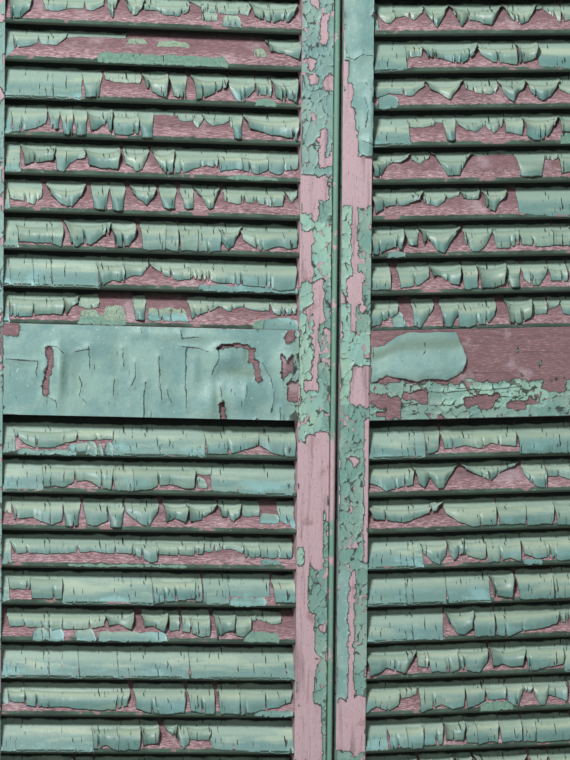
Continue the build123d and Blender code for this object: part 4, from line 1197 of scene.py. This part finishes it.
def sheet_patch(rng, board, form, start, end, top, *drops):
    """A large sheet on a rail: flat, or bulging and come away all round."""
    count = max(6, round((end - start) / SHEET_COLUMN) + 1)
    share = np.linspace(0, 1, count)[:, None]
    fall = np.linspace(0, 1, SHEET_ROWS)[None, :]
    low = torn_edge(rng, count, drops)[:, None]
    high = np.interp(share, np.linspace(0, 1, len(top)), top) + wavy(rng, count, 3, 1.2)[:, None]
    drop = high + (low - high) * fall
    side = np.abs(2 * share - 1)
    bow, hollow_shade = 1, 0
    lift = 0.4 + 0.35 * np.maximum(side, np.abs(2 * fall - 1)) ** 8
    if form == "b":
        wave = 0.8 + 0.2 * np.sin(7 * share + 3 + 2 * fall)
        lift = 0.6 + np.interp(fall, BULGE_FALLS, BULGE_LIFTS) * wave * (0.65 + 0.35 * share)
        lift = lift + 0.9 * np.sin(17 * share - 5 * fall) * fall
        bow = 0.88 + 0.12 * np.sin(2.4 * fall)
        # Painted shade in the hollow below the top of the bulge.
        hollow_shade = 0.75 * np.exp(-((fall - 0.24) / 0.15) ** 2)
    x = board["left"] + start + (end - start) * share * bow
    x = x + wavy(rng, SHEET_ROWS, 3, 1.3)[None, :]
    x = np.clip(x, board["left"] + SIDE_GAP, board["right"] - SIDE_GAP)
    z = board["top"] - drop + board["slope"] * (x - board["middle"])
    place = np.stack([x, board["face"] - np.clip(lift, 0.3, DEEPEST_LIFT), z], axis=-1)
    return patch(place, (x * MM, z * MM), coat=0.3, tone=hollow_shade, edge=rims(z, 1))


def finish_of(node):
    """The finish of a solid piece, by the words in its name."""
    if node == "left_meeting_stile":
        return material(bead_wood, "Meeting stile wood with painted bead")
    if "slat" in node:
        return material(slat_wood, "Slat wood")
    if "stile" in node:
        return material(board_wood, "Stile wood", "Z")
    if "rail" in node:
        return material(board_wood, "Rail wood", "X")
    if "jamb" in node:
        return material(frame_paint, "Jamb paint", "Z")
    if node in ("frame_head", "frame_sill"):
        return material(frame_paint, "Head paint", "X")
    return material(iron, "Old iron")


class SHUTTER_OT_finishes(bpy.types.Operator):
    """Give the solid pieces their wood, paint and iron"""
    bl_idname = "shutter.finishes"
    bl_label = "Wood and iron"
    bl_options = {"REGISTER", "UNDO"}

    def execute(self, context):
        """Put one finish on each solid."""
        for node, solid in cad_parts.items():
            solid.data.materials.clear()
            solid.data.materials.append(finish_of(node))
        return {"FINISHED"}


class SHUTTER_OT_slat_paint(bpy.types.Operator):
    """Lay the peeling paint on every slat of both leaves"""
    bl_idname = "shutter.slat_paint"
    bl_label = "Slat paint"
    bl_options = {"REGISTER", "UNDO"}

    def execute(self, context):
        """Paint the slats leaf by leaf."""
        paint_slats("left", LEFT_FLAKES)
        paint_slats("right", RIGHT_FLAKES)
        return {"FINISHED"}


class SHUTTER_OT_stile_paint(bpy.types.Operator):
    """Lay the cracked paint on the four stiles"""
    bl_idname = "shutter.stile_paint"
    bl_label = "Stile paint"
    bl_options = {"REGISTER", "UNDO"}

    def execute(self, context):
        """Paint the meeting stiles as seen, and the hinge stiles like them."""
        near, far = sizes().near_point / MM, sizes().far_point / MM
        stiles = (("left_meeting_stile", None, BEAD_EDGE, LEFT_MEETING_ZONES, near),
                  ("right_meeting_stile", LIP_EDGE, None, RIGHT_MEETING_ZONES, near),
                  ("left_hinge_stile", None, None, LEFT_HINGE_ZONES, far),
                  ("right_hinge_stile", None, None, [], far))
        for node, left, right, zones, spacing in stiles:
            board = board_of(node, left, right)
            if node == "right_meeting_stile":
                board.update(bulges=RIGHT_MEETING_BULGES, cracks=RIGHT_MEETING_CRACKS)
            coat = board_coat(node, board, zones, spacing)
            paint_piece(f"{node}_paint", node.split("_")[0] + "_leaf", [coat],
                        coat_finishes(cell_paint, "Cracked board paint"))
        return {"FINISHED"}


class SHUTTER_OT_rail_paint(bpy.types.Operator):
    """Lay the sheets and cells of paint on the rails"""
    bl_idname = "shutter.rail_paint"
    bl_label = "Rail paint"
    bl_options = {"REGISTER", "UNDO"}

    def execute(self, context):
        """Paint the rails between the stiles."""
        for leaf in ("left", "right"):
            slat = slat_places(leaf)[UPPER_SLAT]
            start, end = slat["start"], slat["start"] + slat["length"]
            sag = abs(slat["slope"]) * slat["length"] / 2
            for part in ("top", "mid", "bottom"):
                board = board_of(f"{leaf}_{part}_rail", start, end, slat["slope"])
                board["grain"] = "X"
                board["top"] -= sag
                board["bottom"] += sag
                self.paint(leaf, part, board)
        return {"FINISHED"}

    def paint(self, leaf, part, board):
        """The paint of one rail: as seen on a middle rail, cracked paint elsewhere."""
        finishes = coat_finishes(cell_paint, "Cracked board paint")
        body = f"{leaf}_leaf"
        zones, spacing = [], sizes().far_point / MM
        if part == "mid" and leaf == "left":
            board.update(bulges=LEFT_MID_BULGES, cracks=LEFT_MID_CRACKS)
            zones, spacing = LEFT_MID_ZONES, sizes().near_point / MM
        elif part == "mid":
            rng = random.Random("right_mid_rail")
            sheets = [sheet_patch(rng, board, *sheet) for sheet in RIGHT_MID_SHEETS]
            paint_piece("right_mid_rail_sheets", body, sheets, finishes)
            board.update(cracks=RIGHT_MID_CRACKS)
            zones, spacing = RIGHT_MID_ZONES, sizes().near_point / MM
        name = f"{leaf}_{part}_rail_paint"
        paint_piece(name, body, [board_coat(name, board, zones, spacing)], finishes)


def screw_head(radius, proud, finish):
    """A slotted screw head that looks up from the origin."""
    bpy.ops.object.select_all(action="DESELECT")
    bpy.ops.mesh.primitive_cylinder_add(vertices=24, radius=radius, depth=HEAD_DEPTH + proud,
                                        location=(0, 0, (proud - HEAD_DEPTH) / 2))
    head = bpy.context.object
    bpy.ops.object.transform_apply(location=True)
    for face in head.data.polygons:
        face.select = face.normal.z > 0.9
    bpy.ops.object.mode_set(mode="EDIT")
    bpy.ops.mesh.select_mode(type="FACE")
    bpy.ops.mesh.inset(thickness=radius * 0.25)
    bpy.ops.transform.translate(value=(0, 0, proud * 0.3))
    bpy.ops.object.mode_set(mode="OBJECT")
    bpy.ops.object.select_all(action="DESELECT")
    bpy.ops.mesh.primitive_cube_add(size=1, scale=(radius * 3, radius * 0.3, SLOT_DEPTH * 2),
                                    location=(0, 0, proud))
    slot = bpy.context.object
    cut = head.modifiers.new("Slot", "BOOLEAN")
    cut.operation = "DIFFERENCE"
    cut.solver = "EXACT"
    cut.object = slot
    bpy.context.view_layer.objects.active = head
    bpy.ops.object.modifier_apply(modifier=cut.name)
    bpy.data.objects.remove(slot, do_unlink=True)
    head.data.materials.append(finish)
    return head


def screws(name, body, radius, proud, spots):
    """Screw heads at spots in mm, each turned a little and facing its own way."""
    rng = random.Random(name)
    model = screw_head(radius, proud, material(iron, "Old iron"))
    for x, y, z, *normal in spots:
        piece = model.copy()
        piece.data = model.data.copy()
        bpy.context.scene.collection.objects.link(piece)
        turn = Vector((0, 0, 1)).rotation_difference(Vector(normal)).to_matrix().to_4x4()
        piece.data.transform(Matrix.Translation(Vector((x, y, z)) * MM) @ turn
                             @ Matrix.Rotation(rng.uniform(0, math.pi), 4, "Z"))
        piece.select_set(True)
    bpy.data.objects.remove(model, do_unlink=True)
    bpy.context.view_layer.objects.active = piece
    bpy.ops.object.join()
    piece.name = name
    bpy.ops.object.shade_smooth_by_angle(angle=SCREW_SMOOTH)
    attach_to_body(piece, body)


class SHUTTER_OT_screws(bpy.types.Operator):
    """Put slotted screws in the hinge plates, the bolt plates and the strike plates"""
    bl_idname = "shutter.screws"
    bl_label = "Screws"
    bl_options = {"REGISTER", "UNDO"}

    def execute(self, context):
        """Nearly flush heads on the hinges, round ones on the bolts."""
        radius = sizes().screw_head / 2
        for side, leaf in ((-1, "left"), (1, "right")):
            for part, body, gap, facing in (("hinge", f"{leaf}_leaf", 0, side),
                                            ("frame", "frame", HINGE_GAP, -side)):
                spots = [(side * (HINGE_FACE + gap), y, hinge + rise, facing, 0, 0)
                         for hinge in HINGE_HEIGHTS for y, rise in HINGE_SCREWS]
                screws(f"{leaf}_{part}_screws", body, radius, HINGE_SCREW_PROUD, spots)
        low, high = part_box("bolt_cases")
        middle = (low.x + high.x) / 2 / MM
        face = low.y / MM + BOLT_PLATE
        spots = [(middle + across, face, side * (high.z / MM - BOLT_PLATE_HALF + rise), 0, 1, 0)
                 for side in (-1, 1) for across, rise in BOLT_SCREWS]
        screws("bolt_screws", "left_leaf", SMALL_SCREW_RADIUS, BOLT_SCREW_PROUD, spots)
        low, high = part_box("strike_plates")
        level = (low.y + high.y) / 2 / MM
        spots = [(middle + across, level, side * (high.z / MM - STRIKE_PLATE), 0, 0, -side)
                 for side in (-1, 1) for across in STRIKE_SCREWS]
        screws("strike_screws", "frame", SMALL_SCREW_RADIUS, STRIKE_SCREW_PROUD, spots)
        return {"FINISHED"}


class SHUTTER_OT_stage(bpy.types.Operator):
    """Set the pale floor, the soft lamps and the camera"""
    bl_idname = "shutter.stage"
    bl_label = "Stage"
    bl_options = {"REGISTER", "UNDO"}

    def execute(self, context):
        """Floor, lamps, world and camera."""
        self.floor()
        for lamp in LAMPS:
            self.lamp(*lamp)
        self.world()
        self.camera()
        return {"FINISHED"}

    def floor(self):
        """A plain floor, so wide that its edges are never in a view."""
        level = CAD_BOX[0][2] - FLOOR_GAP
        bpy.ops.object.select_all(action="DESELECT")
        bpy.ops.mesh.primitive_plane_add(size=FLOOR_SIZE, location=(0, 0, level))
        ground = bpy.context.object
        ground.name = "floor"
        finish = Finish("Pale floor", 0.9)
        ground.data.materials.append(finish.done(colours().floor))

    def lamp(self, name, place, size, power):
        """A soft square lamp aimed at the shutters."""
        light = bpy.data.lights.new(name, "AREA")
        light.size = size
        light.energy = power
        lamp = bpy.data.objects.new(name, light)
        lamp.location = place
        lamp.rotation_euler = (-Vector(place)).to_track_quat("-Z", "Y").to_euler()
        bpy.context.scene.collection.objects.link(lamp)

    def world(self):
        """Even daylight from all sides."""
        world = bpy.data.worlds.new("Daylight")
        world.use_nodes = True
        sky = world.node_tree.nodes["Background"]
        sky.inputs["Color"].default_value = SKY_COLOUR
        sky.inputs["Strength"].default_value = SKY_STRENGTH
        bpy.context.scene.world = world

    def camera(self):
        """The camera stands left of the middle and looks slightly down."""
        kept = sizes()
        yaw, pitch, roll = kept.view_yaw, kept.view_pitch, kept.view_roll
        ahead = Vector((math.sin(yaw) * math.cos(pitch), math.cos(yaw) * math.cos(pitch),
                        math.sin(pitch)))
        side = ahead.cross(Vector((0, 0, 1))).normalized()
        up = side.cross(ahead)
        right = side * math.cos(roll) + up * math.sin(roll)
        top = up * math.cos(roll) - side * math.sin(roll)
        view = bpy.data.cameras.new("Camera")
        view.lens = kept.view_lens
        view.sensor_width = SENSOR_WIDTH
        camera = bpy.data.objects.new("Camera", view)
        turn = Matrix((right, top, -ahead)).transposed().to_4x4()
        stand = Vector(VIEW_TARGET) - ahead * kept.view_distance
        camera.matrix_world = Matrix.Translation(stand) @ turn
        bpy.context.scene.collection.objects.link(camera)
        bpy.context.scene.camera = camera
        bpy.context.scene.view_settings.view_transform = "Standard"


class SHUTTER_PT_panel(bpy.types.Panel):
    """Lists the steps that dress the shutters"""
    bl_idname = "SHUTTER_PT_panel"
    bl_label = "Shutters"
    bl_space_type = "VIEW_3D"
    bl_region_type = "UI"
    bl_category = "Shutters"

    def draw(self, context):
        """One button for each operator, then the sizes and colours."""
        for step in STEPS:
            self.layout.operator(step.bl_idname)
        for group in (context.scene.shutter_sizes, context.scene.shutter_colours):
            for name in group.__annotations__:
                self.layout.prop(group, name)


STEPS = (SHUTTER_OT_finishes, SHUTTER_OT_slat_paint, SHUTTER_OT_stile_paint,
         SHUTTER_OT_rail_paint, SHUTTER_OT_screws, SHUTTER_OT_stage)
CLASSES = (ShutterSizes, ShutterColours, *STEPS, SHUTTER_PT_panel)


def register():
    """Make the classes and the settings known."""
    for kind in CLASSES:
        bpy.utils.register_class(kind)
    bpy.types.Scene.shutter_sizes = PointerProperty(type=ShutterSizes)
    bpy.types.Scene.shutter_colours = PointerProperty(type=ShutterColours)


def unregister():
    """Take the classes and the settings away again."""
    del bpy.types.Scene.shutter_sizes
    del bpy.types.Scene.shutter_colours
    for kind in reversed(CLASSES):
        bpy.utils.unregister_class(kind)


def main():
    """Dress the shutters."""
    register()
    for step in STEPS:
        group, name = step.bl_idname.split(".")
        getattr(getattr(bpy.ops, group), name)()


if __name__ == "__main__":
    main()
